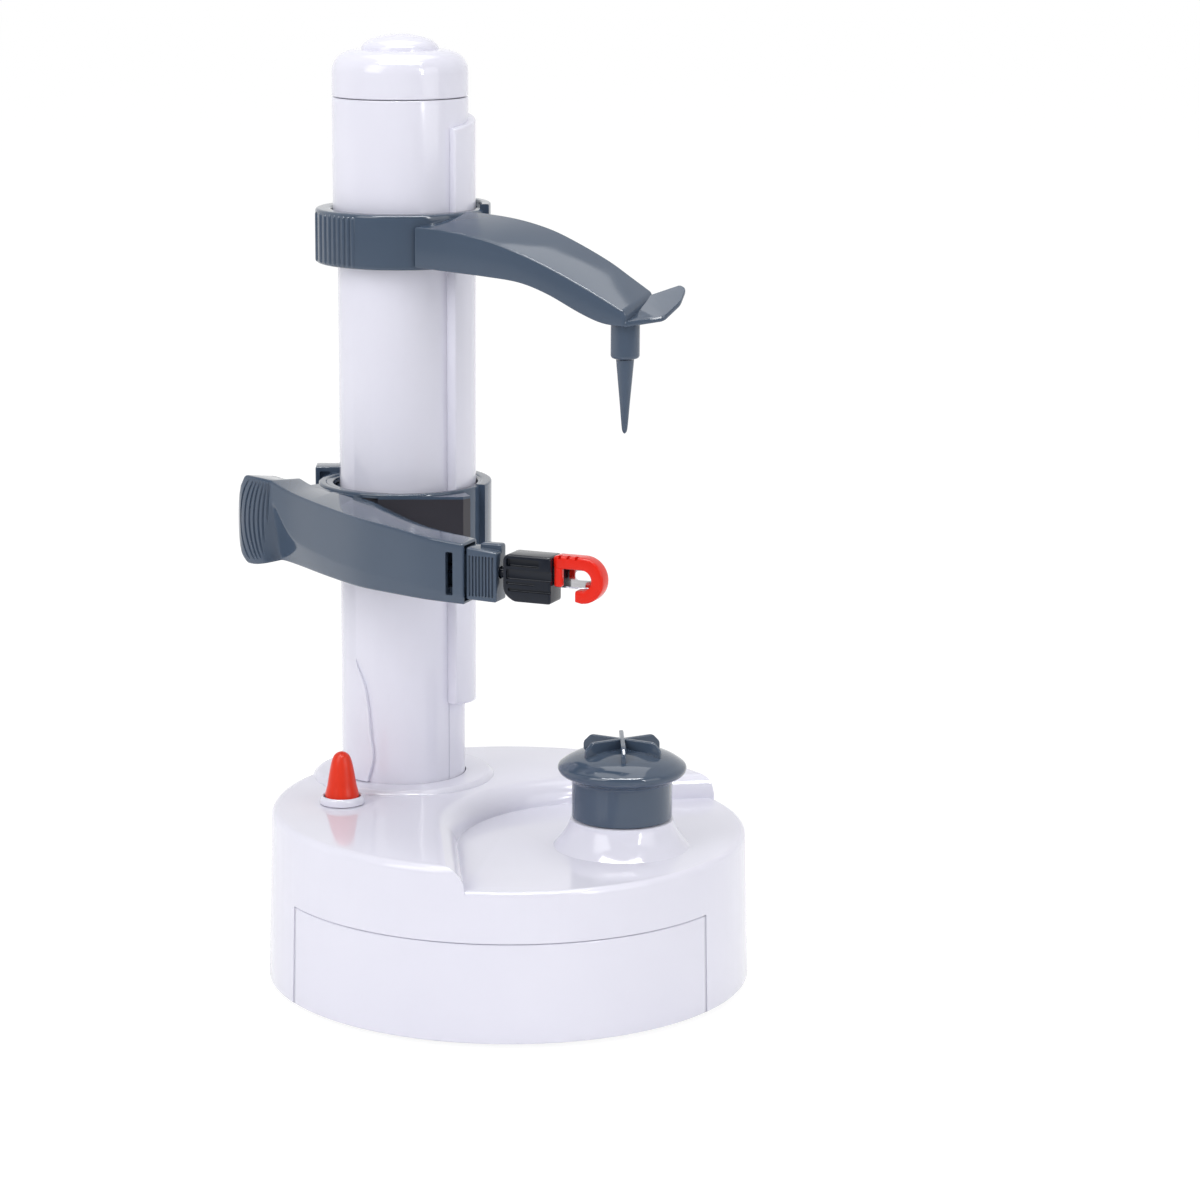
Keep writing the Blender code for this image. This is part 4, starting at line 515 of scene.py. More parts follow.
def row_middle(row):
    return Vector(((row[0] + row[2]) / 2, (row[1] + row[3]) / 2, (row[4] + row[5]) / 2))


def inset_row(row, inset):
    """An arm's row of numbers, drawn in on all sides."""
    front = Vector(row[:2])
    back = Vector(row[2:4])
    inward = (back - front).normalized() * inset
    return [*(front + inward), *(back - inward), row[4] + inset, *(high - inset for high in row[5:])]


def rounded_start(rows, radius, steps=6):
    """Rows of an arm whose first end closes in a quarter round."""
    past_round = radius * 1.05
    lengths = [0.0]
    for a, b in zip(rows, rows[1:]):
        lengths.append(lengths[-1] + (row_middle(b) - row_middle(a)).length)
    made = []
    for distance, inset in rounding(radius, steps):
        k = next(n for n, length in enumerate(lengths) if length >= distance)
        row = rows[k]
        if k:
            share = (distance - lengths[k - 1]) / (lengths[k] - lengths[k - 1])
            row = [a + (b - a) * share for a, b in zip(rows[k - 1], rows[k])]
        made.append(inset_row(row, inset))
    return made + [row for row, length in zip(rows, lengths) if length > past_round]


def rounded_end(rows, radius):
    return rounded_start(rows[::-1], radius)[::-1]


def channel(rows, first, last, front_walls):
    """The room inside an arm from one given row to another, open below, behind a front of so many walls."""
    sections = []
    for fx, fy, bx, by, low, high, back_high in rows[first * ROW_PARTS:last * ROW_PARTS + 1]:
        inward = (Vector((bx, by)) - Vector((fx, fy))).normalized() * WALL
        near = Vector((fx, fy)) + inward * front_walls
        far = Vector((bx, by)) - inward
        foot = low - OVERRUN
        sections.append(soften([upright(near, foot), upright(near, high - WALL), upright(far, back_high - WALL),
                                upright(far, foot)], SOFT_EDGE))
    return loft(sections)


# Pieces

# The angles in degrees above which an edge stays sharp
CREASE = 32.0
BLOCK_CREASE = 40.0
BLADE_CREASE = 25.0
SHADE_SHEET_CREASE = 20.0


def plain_object(name, mesh):
    data = bpy.data.meshes.new(name)
    mesh.to_mesh(data)
    mesh.free()
    made = bpy.data.objects.new(name, data)
    bpy.context.scene.collection.objects.link(made)
    return made


def changed(made, operation, shape):
    """Joins a shape to an object or cuts it off, and leaves a closed mesh of triangles."""
    tool = plain_object("tool", shape)
    modifier = made.modifiers.new("change", "BOOLEAN")
    modifier.operation = operation
    modifier.solver = "EXACT"
    modifier.object = tool
    result = bmesh.new()
    result.from_object(made, bpy.context.evaluated_depsgraph_get())
    made.modifiers.clear()
    bpy.data.objects.remove(tool, do_unlink=True)
    bmesh.ops.triangulate(result, faces=result.faces)
    bmesh.ops.dissolve_degenerate(result, dist=SLIVER, edges=result.edges)
    bmesh.ops.triangulate(result, faces=result.faces)
    result.to_mesh(made.data)
    result.free()


def piece(name, body, slot, mesh, changes=(), replaced=(), crease=CREASE, finish=None):
    """One dressed piece: a mesh with shapes joined to it or cut from it, in the finish of its slot."""
    made = plain_object(name, mesh)
    for operation, shape in changes:
        changed(made, operation, shape)
    made.data.materials.clear()
    made.data.materials.append(FINISHES[finish or slot])
    made.data.shade_smooth()
    made.data.set_sharp_from_angle(angle=math.radians(crease))
    if replaced:
        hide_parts(*replaced)
    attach(made, body)
    return made


def join(mesh):
    return ("UNION", mesh)


def cut(mesh):
    return ("DIFFERENCE", mesh)


# Base housing

def shell_radius(z):
    return BASE_R - BASE_DRAFT * z / BASE_TOP


def recess_outline(radius):
    """The bowl round the turntable, open towards the front and the right edge of the base."""
    bowl = arc(TURNTABLE, radius, RECESS_FROM, RECESS_TO, BOWL_STEPS)
    right = bowl[0] + Vector((math.sin(RECESS_FROM), -math.cos(RECESS_FROM))) * RECESS_LENGTH
    front = bowl[-1] + Vector((-math.sin(RECESS_TO), math.cos(RECESS_TO))) * RECESS_LENGTH
    return [right] + bowl + [front, Vector((right.x, front.y))]


def recess(floor, margin, steps=12):
    sections = [[upright(p, floor) for p in recess_outline(RECESS_R + margin)]]
    for turn in quarter_turns(steps)[1:]:
        reach = RECESS_R + margin + RECESS_DEPTH * (1 - math.cos(turn))
        level = RECESS_FLOOR + RECESS_DEPTH * math.sin(turn)
        sections.append([upright(p, level) for p in recess_outline(reach)])
    sections.append([upright(p, BASE_TOP + OVERRUN) for p in sections[-1]])
    return loft(sections)


def recess_floor():
    """The floor of the recess as a disc with a soft outer edge, a hair inside the housing's wall."""
    low = RECESS_FLOOR - FLOOR_DROP - WALL / 2
    edge = round_edge(shell_radius(RECESS_FLOOR) - HAIR, RECESS_FLOOR, RECESS_RIM)
    return turned([(0.0, low), (shell_radius(low) - HAIR, low), *edge, (0.0, RECESS_FLOOR)], BASE_CENTRE)


def cone_profile(wall, low, steps=14):
    """The flared neck under the turntable, drawn in by a wall."""
    flare = []
    for i in range(steps + 1):
        rise = i / steps
        radius = CONE_TOP_R + (CONE_FOOT_R - CONE_TOP_R) * (1 - rise) ** CONE_FLARE
        flare.append((radius - wall, RECESS_FLOOR - wall + CONE_HEIGHT * rise))
    lip = (CONE_TOP_R - wall - GAP, RECESS_FLOOR - wall + CONE_HEIGHT + GAP / 2)
    return [(0.0, low), (CONE_FOOT_R - wall, low), *flare, lip, (0.0, lip[1])]


def housing_hollow():
    """The room inside the housing, which stays under the recess."""
    inner = [
        (0.0, -OVERRUN), (shell_radius(0.0) - WALL, -OVERRUN), (shell_radius(BASE_TOP) - WALL, PLATEAU_UNDER),
        (0.0, PLATEAU_UNDER),
    ]
    room = plain_object("room", turned(inner, BASE_CENTRE))
    changed(room, *cut(recess(RECESS_FLOOR - WALL, WALL)))
    baked = bmesh.new()
    baked.from_mesh(room.data)
    bpy.data.objects.remove(room, do_unlink=True)
    return baked


def base_housing():
    edge = round_edge(shell_radius(BASE_TOP), BASE_TOP, BASE_EDGE)
    hem = arc((shell_radius(0.0) - BASE_HEM, FOOT_HEIGHT + BASE_HEM), BASE_HEM, -math.pi / 2, 0.0, 4)
    body = turned([(0.0, FOOT_HEIGHT), *hem, *edge, (0.0, BASE_TOP)], BASE_CENTRE)
    plinth_foot = BASE_TOP - WALL / 2
    plinth_edge = 0.5 * MM
    plinth = soften([
        (0.0, plinth_foot), (PLINTH_R, plinth_foot), (PLINTH_R, BASE_TOP + GAP),
        (PLINTH_R - PLINTH_HEIGHT, PLINTH_TOP), (0.0, PLINTH_TOP),
    ], plinth_edge, closed=False)
    apron_room = BASE_R - WALL - BASE_DRAFT - WALL
    side = GAP / BASE_R
    neck_top = RECESS_FLOOR + CONE_HEIGHT + OVERRUN
    changes = [
        cut(recess(RECESS_FLOOR - FLOOR_DROP, 0.0)),
        join(recess_floor()),
        join(turned(cone_profile(0.0, RECESS_FLOOR - WALL / 2), TURNTABLE)),
        join(turned(plinth, COLUMN)),
        cut(housing_hollow()),
        cut(sector(APRON_FROM - side, APRON_TO + side, APRON_STEPS, BASE_CENTRE,
                   rectangle(apron_room, BASE_R + OVERRUN, -OVERRUN, APRON_TOP + GAP))),
        cut(turned(cone_profile(WALL, RECESS_FLOOR - WALL * 2), TURNTABLE)),
        cut(cylinder(SPINDLE_R + RUN, RECESS_FLOOR - OVERRUN, neck_top, TURNTABLE)),
        cut(cylinder(COLUMN_R + GAP, PLATEAU_UNDER - OVERRUN, PLINTH_TOP + OVERRUN, COLUMN, ROUND)),
        cut(cylinder(BUTTON_R / 2, PLATEAU_UNDER - OVERRUN, BASE_TOP + OVERRUN, BUTTON)),
    ]
    for angle in POST_ANGLES:
        spot = BASE_CENTRE + polar(POST_REACH, angle).to_2d()
        under_recess = spot.x > TURNTABLE.x - RECESS_R and spot.y < TURNTABLE.y + RECESS_R
        top = (RECESS_FLOOR if under_recess else BASE_TOP) - WALL / 2
        changes.append(join(cylinder(POST_R, TRAY_TOP + GAP, top, spot, POST_ROUND)))
        changes.append(cut(cylinder(SCREW_HOLE_R, 0.0, TRAY_TOP + SCREW_DEPTH, spot, POST_ROUND)))
    piece("base_housing", "base", "white_plastic", body, changes, ["base_upper_shell"])


def tray_with_apron():
    """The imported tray, whose flat-sided apron gives way to a truly round one."""
    made = bmesh.new()
    made.from_mesh(frame["nodes"]["base_tray"].data)
    bmesh.ops.remove_doubles(made, verts=made.verts, dist=SLIVER)
    top = shell_radius(APRON_TOP)
    foot = shell_radius(FOOT_HEIGHT) - APRON_SETBACK
    side = math.radians(1.0)
    skin = soften([(top - WALL, FOOT_HEIGHT), (foot, FOOT_HEIGHT), (top - APRON_SETBACK, APRON_TOP),
                   (top - WALL, APRON_TOP)], BASE_HEM)
    changes = [
        cut(sector(APRON_FROM - side, APRON_TO + side, APRON_STEPS, BASE_CENTRE,
                   rectangle(top - WALL / 2, BASE_R + OVERRUN, -OVERRUN, APRON_TOP + OVERRUN))),
        join(sector(APRON_FROM, APRON_TO, APRON_SKIN_STEPS, BASE_CENTRE, skin)),
    ]
    piece("tray_with_apron", "base", "white_plastic", made, changes, ["base_tray"])


# Column and its cap

COLUMN_EDGE = 0.35 * MM
SPINE_EDGE = 0.9 * MM
SPINE_STEPS = 26
# The seam that runs on from the spine's front edge down to the plinth, as (reach, turn) about its middle
SEAM_ANGLE = math.radians(-41.5)
SEAM_DEPTH = 0.4 * MM
SEAM_CORNERS = ((-SEAM_DEPTH, -0.006), (OVERRUN, -0.016), (OVERRUN, 0.016), (-SEAM_DEPTH, 0.006))
# Where the fold starts and where its crease runs from the plinth up, in degrees
FOLD_FROM = math.radians(178.0)
FOLD_CREASES = ((238.0,), (243.5,), (241.0,), (239.0,), (234.0,), (222.0,))
FOLD_ROWS = 30
FOLD_COLUMNS = 26
# The cap's shoulder and crown as shares of its height, and its crown and button as shares of its radius
SHOULDER_SHARE = 0.39
CROWN_SHARE = 0.75
CROWN_R_SHARE = 0.645
DOME_R_SHARE = 0.57


def column():
    inner = COLUMN_R - COLUMN_WALL
    flange_top = PLATEAU_UNDER - GAP
    profile = [
        (inner, flange_top - WALL), (COLUMN_STEP_R, flange_top - WALL), (COLUMN_STEP_R, flange_top),
        (COLUMN_R, flange_top), (COLUMN_R, COLUMN_STEP_Z), (COLUMN_STEP_R, COLUMN_STEP_Z),
        (COLUMN_STEP_R, COLUMN_TOP), (inner, COLUMN_TOP),
    ]
    slot = rectangle(-SLOT_WIDTH / 2, SLOT_WIDTH / 2, COLUMN_R / 2, COLUMN_R + OVERRUN)
    seam = [COLUMN + polar(COLUMN_R + reach, SEAM_ANGLE + turn).to_2d() for reach, turn in SEAM_CORNERS]
    changes = [
        join(spine()),
        join(fold()),
        cut(prism([COLUMN + Vector(p) for p in slot], SLOT_FROM_Z, SLOT_TO_Z)),
        cut(prism(seam, PLINTH_TOP + GAP, SPINE_FROM_Z + SPINE_SLANT)),
        cut(cylinder(CAP_SKIRT_R + GAP, COLUMN_TOP - CAP_PLUG - GAP, COLUMN_TOP + OVERRUN, COLUMN, ROUND)),
    ]
    piece("column_body", "base", "white_plastic", turned(soften(profile, COLUMN_EDGE), COLUMN), changes,
          ["column_tube"])


def spine():
    """The guide along the column's right side, with rounded sides and slanted, rounded ends."""
    root = COLUMN_R - COLUMN_WALL / 2
    side = arc((0.0, 0.0), SPINE_R, -SPINE_HALF, SPINE_HALF, SPINE_STEPS)
    outline = soften([polar(root, -SPINE_HALF).to_2d(), *side, polar(root, SPINE_HALF).to_2d()], SPINE_EDGE)
    rounds = rounding(SPINE_EDGE, 4)
    sections = []
    for level, way in ((SPINE_FROM_Z, 1), (SPINE_TO_Z, -1)):
        for rise, inset in rounds[::way]:
            section = []
            for p in outline:
                slant = SPINE_SLANT * math.atan2(p.y, p.x) / SPINE_HALF / 2 * -way
                reach = p.length - (inset if p.length > COLUMN_R else 0.0)
                section.append(upright(COLUMN + p.normalized() * reach, level + slant + rise * way))
            sections.append(section)
    return loft(sections)


def fold():
    """The raised fold low on the column's left front, which rises gently and ends in a crease."""
    root = COLUMN_R - COLUMN_WALL / 2
    low = PLINTH_TOP + GAP
    creases = smooth_rows(FOLD_CREASES, 6)
    shares = [i / FOLD_COLUMNS for i in range(FOLD_COLUMNS + 1)]
    sections = []
    for k in range(FOLD_ROWS + 1):
        up = k / FOLD_ROWS
        z = low + (RAMP_TOP_Z - low) * up
        crease = math.radians(row_at(creases, up * (len(creases) - 1))[0])
        fade = math.sqrt(max(0.0, 1.0 - up ** 6))
        ring = []
        for share in shares:
            rise = RAMP_RISE * (0.5 - 0.5 * math.cos(math.pi * share)) * fade - THIN_WALL * (1 - fade) / 4
            angle = FOLD_FROM + (crease - FOLD_FROM) * share
            ring.append(upright(COLUMN + polar(COLUMN_R + rise, angle).to_2d(), z))
        for i in range(FOLD_COLUMNS + 1):
            angle = crease + (FOLD_FROM - crease) * i / FOLD_COLUMNS
            ring.append(upright(COLUMN + polar(root, angle).to_2d(), z))
        sections.append(ring)
    return loft(sections)


def cap():
    low = COLUMN_TOP + GAP
    shoulder = low + CAP_HEIGHT * SHOULDER_SHARE
    crown = low + CAP_HEIGHT * CROWN_SHARE
    crown_r = COLUMN_STEP_R * CROWN_R_SHARE
    top = low + CAP_HEIGHT
    quarter = quarter_turns(12)
    bend = [(crown_r + (COLUMN_STEP_R - crown_r) * math.cos(a), shoulder + (crown - shoulder) * math.sin(a))
            for a in quarter]
    dome_r = COLUMN_STEP_R * DOME_R_SHARE
    dome = [(dome_r * math.cos(a), crown + (top - crown) * math.sin(a)) for a in quarter]
    skirt_in = CAP_SKIRT_R - COLUMN_WALL / 2
    plug_low = COLUMN_TOP - CAP_PLUG + GAP
    profile = [
        (0.0, crown - WALL), (crown_r - WALL, crown - WALL), (skirt_in, shoulder), (skirt_in, plug_low),
        (CAP_SKIRT_R, plug_low), (CAP_SKIRT_R, low), (COLUMN_STEP_R - GAP, low), (COLUMN_STEP_R, low + GAP),
        *bend, *dome[:-1], (0.0, top),
    ]
    piece("column_crown", "base", "white_plastic", turned(profile, COLUMN), (), ["column_cap"])


# Turntable cup with its fins

# The cup's outside as (radius, height) shares of its rim's radius and of the rise to its rim
CUP_SHARES = (
    (0.78, 0.72), (0.80, 0.77), (0.86, 0.82), (0.95, 0.88), (0.99, 0.94), (1.0, 1.0), (0.985, 1.05),
    (0.94, 1.10), (0.83, 1.19), (0.70, 1.26), (0.53, 1.32), (0.36, 1.36), (0.18, 1.375),
)
CUP_SEAT_SHARE = 0.72
CUP_CROWN_SHARE = 1.38
FIN_CORNER = 0.8 * MM
FIN_EDGE = 0.4 * MM


def cup():
    drop = CUP_RIM_Z - CUP_BOTTOM
    seat = CUP_BOTTOM + drop * CUP_SEAT_SHARE + GAP
    hub = SPINDLE_R + GAP
    roof = seat - GAP - WALL
    ledge = CUP_BOTTOM + THIN_WALL
    outside = [(CUP_R * r, CUP_BOTTOM + drop * h) for r, h in smooth_rows(CUP_SHARES, 4)]
    profile = [
        (0.0, seat + GAP), (hub, seat + GAP), (hub, ledge), (hub + WALL, ledge), (hub + WALL, roof),
        (CUP_BODY_R - WALL, roof), (CUP_BODY_R - THIN_WALL, CUP_BOTTOM),
        (CUP_BODY_R - GAP, CUP_BOTTOM), (CUP_BODY_R, CUP_BOTTOM + GAP),
        *outside, (0.0, CUP_BOTTOM + drop * CUP_CROWN_SHARE),
    ]
    foot = CUP_RIM_Z - THIN_WALL
    outline = soften([
        (-CUP_FIN_R, foot), (CUP_FIN_R, foot), (CUP_FIN_R, CUP_FIN_TOP - WALL),
        (CUP_FIN_R - WALL, CUP_FIN_TOP), (WALL - CUP_FIN_R, CUP_FIN_TOP), (-CUP_FIN_R, CUP_FIN_TOP - WALL),
    ], FIN_CORNER)
    changes = []
    for i in range(CUP_FINS // 2):
        along = polar(1.0, math.tau * i / CUP_FINS + CUP_FIN_TURN).to_2d()
        across = Vector((-along.y, along.x))

        def place(point, level):
            return upright(TURNTABLE + along * point.x + across * level, point.y)

        changes.append(join(pillow(outline, -CUP_FIN_THICK / 2, CUP_FIN_THICK / 2, FIN_EDGE, place)))
    piece("spiked_cup", "turntable", "slate_plastic", turned(profile, TURNTABLE, HALF_ROUND), changes,
          ["food_cup"])


# Power button in its bezel

# The button's outside as (radius, height) shares
BUTTON_SHARES = (
    (1.0, 0.0), (0.985, 0.06), (0.93, 0.15), (0.86, 0.26), (0.77, 0.46), (0.67, 0.66), (0.58, 0.80),
    (0.47, 0.90), (0.32, 0.96), (0.14, 0.993),
)
STEM_SHARE = 0.42
BEZEL_SIDE_SHARE = 0.15


def button():
    box_low, box_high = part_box("power_button")
    low = box_high[2] - BUTTON_HEIGHT
    stem_r = BUTTON_R * STEM_SHARE
    outside = [(BUTTON_R * r, low + BUTTON_HEIGHT * h) for r, h in smooth_rows(BUTTON_SHARES, 4)]
    profile = [(0.0, box_low[2]), (stem_r, box_low[2]), (stem_r, low), *outside, (0.0, box_high[2])]
    piece("soft_button", "button", "red_rubber", turned(profile, BUTTON, HALF_ROUND), (), ["power_button"])


def bezel():
    low, high = (corner[2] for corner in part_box("button_bezel"))
    bore = BUTTON_R + GAP * 1.5
    rise = high - low
    top_r = bore + GAP
    profile = [(bore, low), (BEZEL_R, low), (BEZEL_R, low + rise * BEZEL_SIDE_SHARE)]
    for turn in quarter_turns(8)[1:]:
        share = BEZEL_SIDE_SHARE + (1 - BEZEL_SIDE_SHARE) * math.sin(turn)
        profile.append((top_r + (BEZEL_R - bore - GAP) * math.cos(turn), low + rise * share))
    profile.append((bore, high - GAP))
    piece("soft_bezel", "base", "white_plastic", turned(profile, BUTTON, HALF_ROUND), (), ["button_bezel"])


# Peeling arm: the collar, the curved channel with its ribbed grip and the blade's seat

# Each row holds the front edge (x, y) and the back edge (x, y) as shares of the span, counted from the
# column's axis, then low, front high and back high as shares of the depth
ARM_SHARES = (
    (-0.850, -0.050, -0.767, 0.083, -0.09, 1.10, 1.00),
    (-0.825, -0.142, -0.675, 0.058, -0.09, 1.29, 1.15),
    (-0.750, -0.225, -0.608, -0.008, -0.07, 1.31, 1.17),
    (-0.662, -0.283, -0.525, -0.092, 0.00, 1.28, 1.22),
    (-0.552, -0.413, -0.433, -0.192, 0.00, 1.16, 1.13),
    (-0.373, -0.680, -0.275, -0.350, 0.00, 1.10, 1.10),
    (-0.192, -0.930, -0.143, -0.458, 0.00, 1.06, 1.06),
    (-0.013, -1.092, -0.027, -0.657, 0.00, 1.01, 1.01),
    (0.147, -1.210, 0.158, -0.950, -0.01, 0.94, 0.94),
)
ARM_END_SHARE = 0.89
# How far apart the rows are at the arm's ends
ROW_PITCH_SHARE = 0.1
SOFT_EDGE = 0.7 * MM
GRIP_ROUND = 1.6 * MM
END_ROUND = 0.6 * MM
# The number of the last point up a section's front, where the strip that closes an end turns back
ARM_SECTION_TOP = 32
# How far the grip's end bows and how far along the arm the bow reaches, counted in fine rows
GRIP_BOW = 1.3 * ROW_PARTS
GRIP_BOW_ROWS = 3.2 * ROW_PARTS
# The bevel low on the arm's front, row by row: how far it draws in, and how high it starts
BEVEL_ROWS = (
    (0.4 * MM, 0.10), (0.4 * MM, 0.10), (0.4 * MM, 0.12), (4.2 * MM, 0.74), (3.4 * MM, 0.40),
    (2.2 * MM, 0.30), (1.5 * MM, 0.26), (1.2 * MM, 0.22), (1.0 * MM, 0.18), (0.8 * MM, 0.14),
)
BEVEL_FINE = smooth_rows(BEVEL_ROWS[:3], ROW_PARTS)[:-1] + smooth_rows(BEVEL_ROWS[2:], ROW_PARTS)
GRIP_RIBS = 7
GRIP_RIB_FROM = -49.9 * MM
GRIP_RIB_PITCH = 1.48 * MM
GROOVE_HALF = 0.36 * MM
GROOVE_DEPTH = 0.62 * MM
GROOVE_LIFT = 0.06 * MM
GROOVE_END_SHARE = 0.03
# How wide a groove is at its mouth and at its floor, as shares of its width
GROOVE_MOUTH = 1.5
GROOVE_FLOOR = 0.4
# The web's points round the collar and its places along the arm, counted in rows
WEB_TOP_Z = 147.6 * MM
WEB_ANGLES = tuple(math.radians(186.0 + 6.0 * k) for k in range(11))
WEB_ROWS = tuple(5.3 - 0.25 * k for k in range(9))
PLATE_ANGLES = tuple(math.radians(a) for a in (-40.0, -65.0, -95.0))
PLATE_SHARES = ((-0.25, -1.0), (0.72, -1.0), (0.80, -0.92))
# The thick stretch at the back of the collar and the lip that keeps it on the carriage
BACK_ANGLES = (math.radians(-22.0), math.radians(48.0))
BACK_THICK = 1.9 * MM
BACK_EDGE = 0.6 * MM
LIP_ANGLES = (math.radians(100.0), math.radians(260.0))
LIP_EDGE = 0.4 * MM
LIP_STEPS = 80
# The open box frame at the collar's left rear
LUG_ANGLE = math.radians(147.0)
LUG_SIDE = 8.0 * MM
LUG_RISE = 1.6 * MM
LUG_DROP_SHARE = 0.45
LUG_CORNER = 0.6 * MM
LUG_ROOM_CORNER = 0.5 * MM
LUG_EDGE = 0.4 * MM
# How many times wider than its drawn-in edge an outline's corner is at least
CORNER_PER_EDGE = 1.6
BLOCK_CORNER = 0.5 * MM
# The blade's seat: the latch with its tail, the rod, and the slot in the arm's front
LATCH_LENGTH = 10.0 * MM
LATCH_HALF = 7.9 * MM
LATCH_THICK = 7.0 * MM
TAIL_LENGTH = 6.0 * MM
TAIL_THICK = 4.4 * MM
TAIL_HALF = 5.0 * MM
ROD_TAIL = 7.0 * MM
ROD_BORE_R = 1.9 * MM
ARM_SLOT_LOW = -7.2 * MM
ARM_SLOT_HIGH = 5.6 * MM
# The collar's front of painted shade: how far it stands out, how deep it goes, and its angles in degrees
SHADE_SHEET_OUT = 0.14 * MM
SHADE_SHEET_DEEP = 0.5 * MM
SHADE_SHEET_ANGLES = range(-146, -100, 5)

TIP_ALONG = polar(1.0, TIP_ANGLE).to_2d()
TIP_FRONT = Vector((TIP_ALONG.y, -TIP_ALONG.x))


def tip_point(along, front, z):
    """A point counted from the arm's tip: along its direction, towards the front, and up."""
    return upright(COLUMN + TIP + TIP_ALONG * along + TIP_FRONT * front, z)


def tip_place(point, level):
    """Puts an outline of (along, height over the blade axis) points at a distance towards the front."""
    return tip_point(point.x, level, BLADE_AXIS_Z + point.y)


def tip_block(along_from, along_to, front_from, front_to, low, high):
    """A block given by heights over the blade axis."""
    corners = ((along_from, front_from), (along_to, front_from), (along_to, front_to), (along_from, front_to))
    return loft([[tip_point(a, f, BLADE_AXIS_Z + z) for a, f in corners] for z in (low, high)])


def tip_pillow(outline, front_from, front_to, edge, corner=BLOCK_CORNER, steps=4):
    """An outline seen from the front, with rounded corners and rounded edges."""
    outline = soften(outline, max(corner, edge * CORNER_PER_EDGE), least=math.radians(25.0))
    return pillow(outline, front_from, front_to, edge, tip_place, steps)


def tip_rod(profile, steps=PIN_ROUND):
    """Rings of (along, radius) about the blade's axis."""
    sections = []
    for along, reach in profile:
        ring = (polar(reach, math.tau * i / steps) for i in range(steps))
        sections.append([tip_point(along, p.x, BLADE_AXIS_Z + p.y) for p in ring])
    return loft(sections)


def arm_rows(parts):
    rows = [
        [COLUMN.x + fx * ARM_SPAN, COLUMN.y + fy * ARM_SPAN, COLUMN.x + bx * ARM_SPAN,
         COLUMN.y + by * ARM_SPAN, *(ARM_LOW_Z + share * ARM_DEPTH for share in heights)]
        for fx, fy, bx, by, *heights in ARM_SHARES
    ]
    front = tip_point(0.0, TIP_WIDTH / 2, 0.0)
    back = tip_point(0.0, -TIP_WIDTH / 2, 0.0)
    end_top = ARM_LOW_Z + ARM_END_SHARE * ARM_DEPTH
    rows.append([front.x, front.y, back.x, back.y, ARM_LOW_Z - GAP, end_top, end_top])
    return smooth_rows(rows[:4], parts)[:-1] + smooth_rows(rows[3:], parts)


def split_sides(outline, sides, corner_points=5, parts=10):
    """More points on some of the straight sides between an outline's rounded corners."""
    made = []
    for i, p in enumerate(outline):
        made.append(p)
        if i % corner_points == corner_points - 1 and i // corner_points in sides:
            after = outline[(i + 1) % len(outline)]
            made += [p.lerp(after, k / parts) for k in range(1, parts)]
    return made


def arm_stations(rows):
    """Places along the rows, counted in rows, each with how far the section draws in there."""
    pace = ROW_PARTS / (ARM_SPAN * ROW_PITCH_SHARE)
    last = len(rows) - 1
    stations = [(reach * pace, inset) for reach, inset in rounding(GRIP_ROUND, 6)]
    stations += [(k, 0.0) for k in range(math.ceil(GRIP_ROUND * pace) + 1, last)]
    stations += [(last - reach * pace / 2, inset) for reach, inset in rounding(END_ROUND, 6)[::-1]]
    return stations


def arm_section(rows, station, inset):
    """The arm's section at a station; the grip's end bows outwards at half its height."""
    fx, fy, bx, by, low, high, back_high = inset_row(row_at(rows, station), inset)
    front = Vector((fx, fy))
    back = Vector((bx, by))
    across = back - front
    share = station / (len(rows) - 1)
    bevel_depth, knee_share = row_at(BEVEL_FINE, share * (len(BEVEL_FINE) - 1))
    bevel = front + across.normalized() * bevel_depth
    knee = low + (high - low) * knee_share
    outline = soften([upright(bevel, low), upright(front, knee), upright(front, high),
                      upright(back, back_high), upright(back, low)], SOFT_EDGE)
    bow = GRIP_BOW * max(0.0, 1.0 - station / GRIP_BOW_ROWS)
    bowed = []
    for p in split_sides(outline, (0, 1, 3)):
        up = (p.z - low) / (high - low)
        over = (p.to_2d() - front).dot(across) / across.length_squared
        aside = (p.to_2d() - front) - across * over
        moved = row_at(rows, station + bow * min(1.0, (2 * up - 1) ** 2))
        fx, fy, bx, by, new_low, new_high = inset_row(moved, inset)[:6]
        spot = Vector((fx, fy)) + (Vector((bx, by)) - Vector((fx, fy))) * over + aside
        bowed.append(upright(spot, new_low + (new_high - new_low) * up))
    return bowed


def grip_groove(rows, across_x, steps=24):
    """A groove up the grip's front, at a distance from the column, that bows with the end of the grip."""
    k = next(n for n, row in enumerate(rows) if row[0] - COLUMN.x > across_x)
    place = k - (rows[k][0] - COLUMN.x - across_x) / (rows[k][0] - rows[k - 1][0])
    bow = GRIP_BOW * max(0.0, 1.0 - place / GRIP_BOW_ROWS)
    sections = []
    for i in range(steps + 1):
        share = i / steps
        up = GROOVE_END_SHARE + (1 - 2 * GROOVE_END_SHARE) * share
        row = row_at(rows, place + bow * (2 * up - 1) ** 2)
        front = Vector(row[:2])
        inward = (Vector(row[2:4]) - front).normalized()
        across = Vector((-inward.y, inward.x)) * GROOVE_HALF
        z = row[4] + (row[5] - row[4]) * up
        depth = GROOVE_DEPTH * math.sqrt(max(0.0, 1 - (2 * share - 1) ** 6)) - GROOVE_LIFT
        outer = front - inward * OVERRUN
        inner = front + inward * depth
        mouth = across * GROOVE_MOUTH
        floor = across * GROOVE_FLOOR
        ring = (outer - mouth, outer + mouth, front + mouth, inner + floor, inner - floor, front - mouth)
        sections.append([upright(p, z) for p in ring])
    return loft(sections)


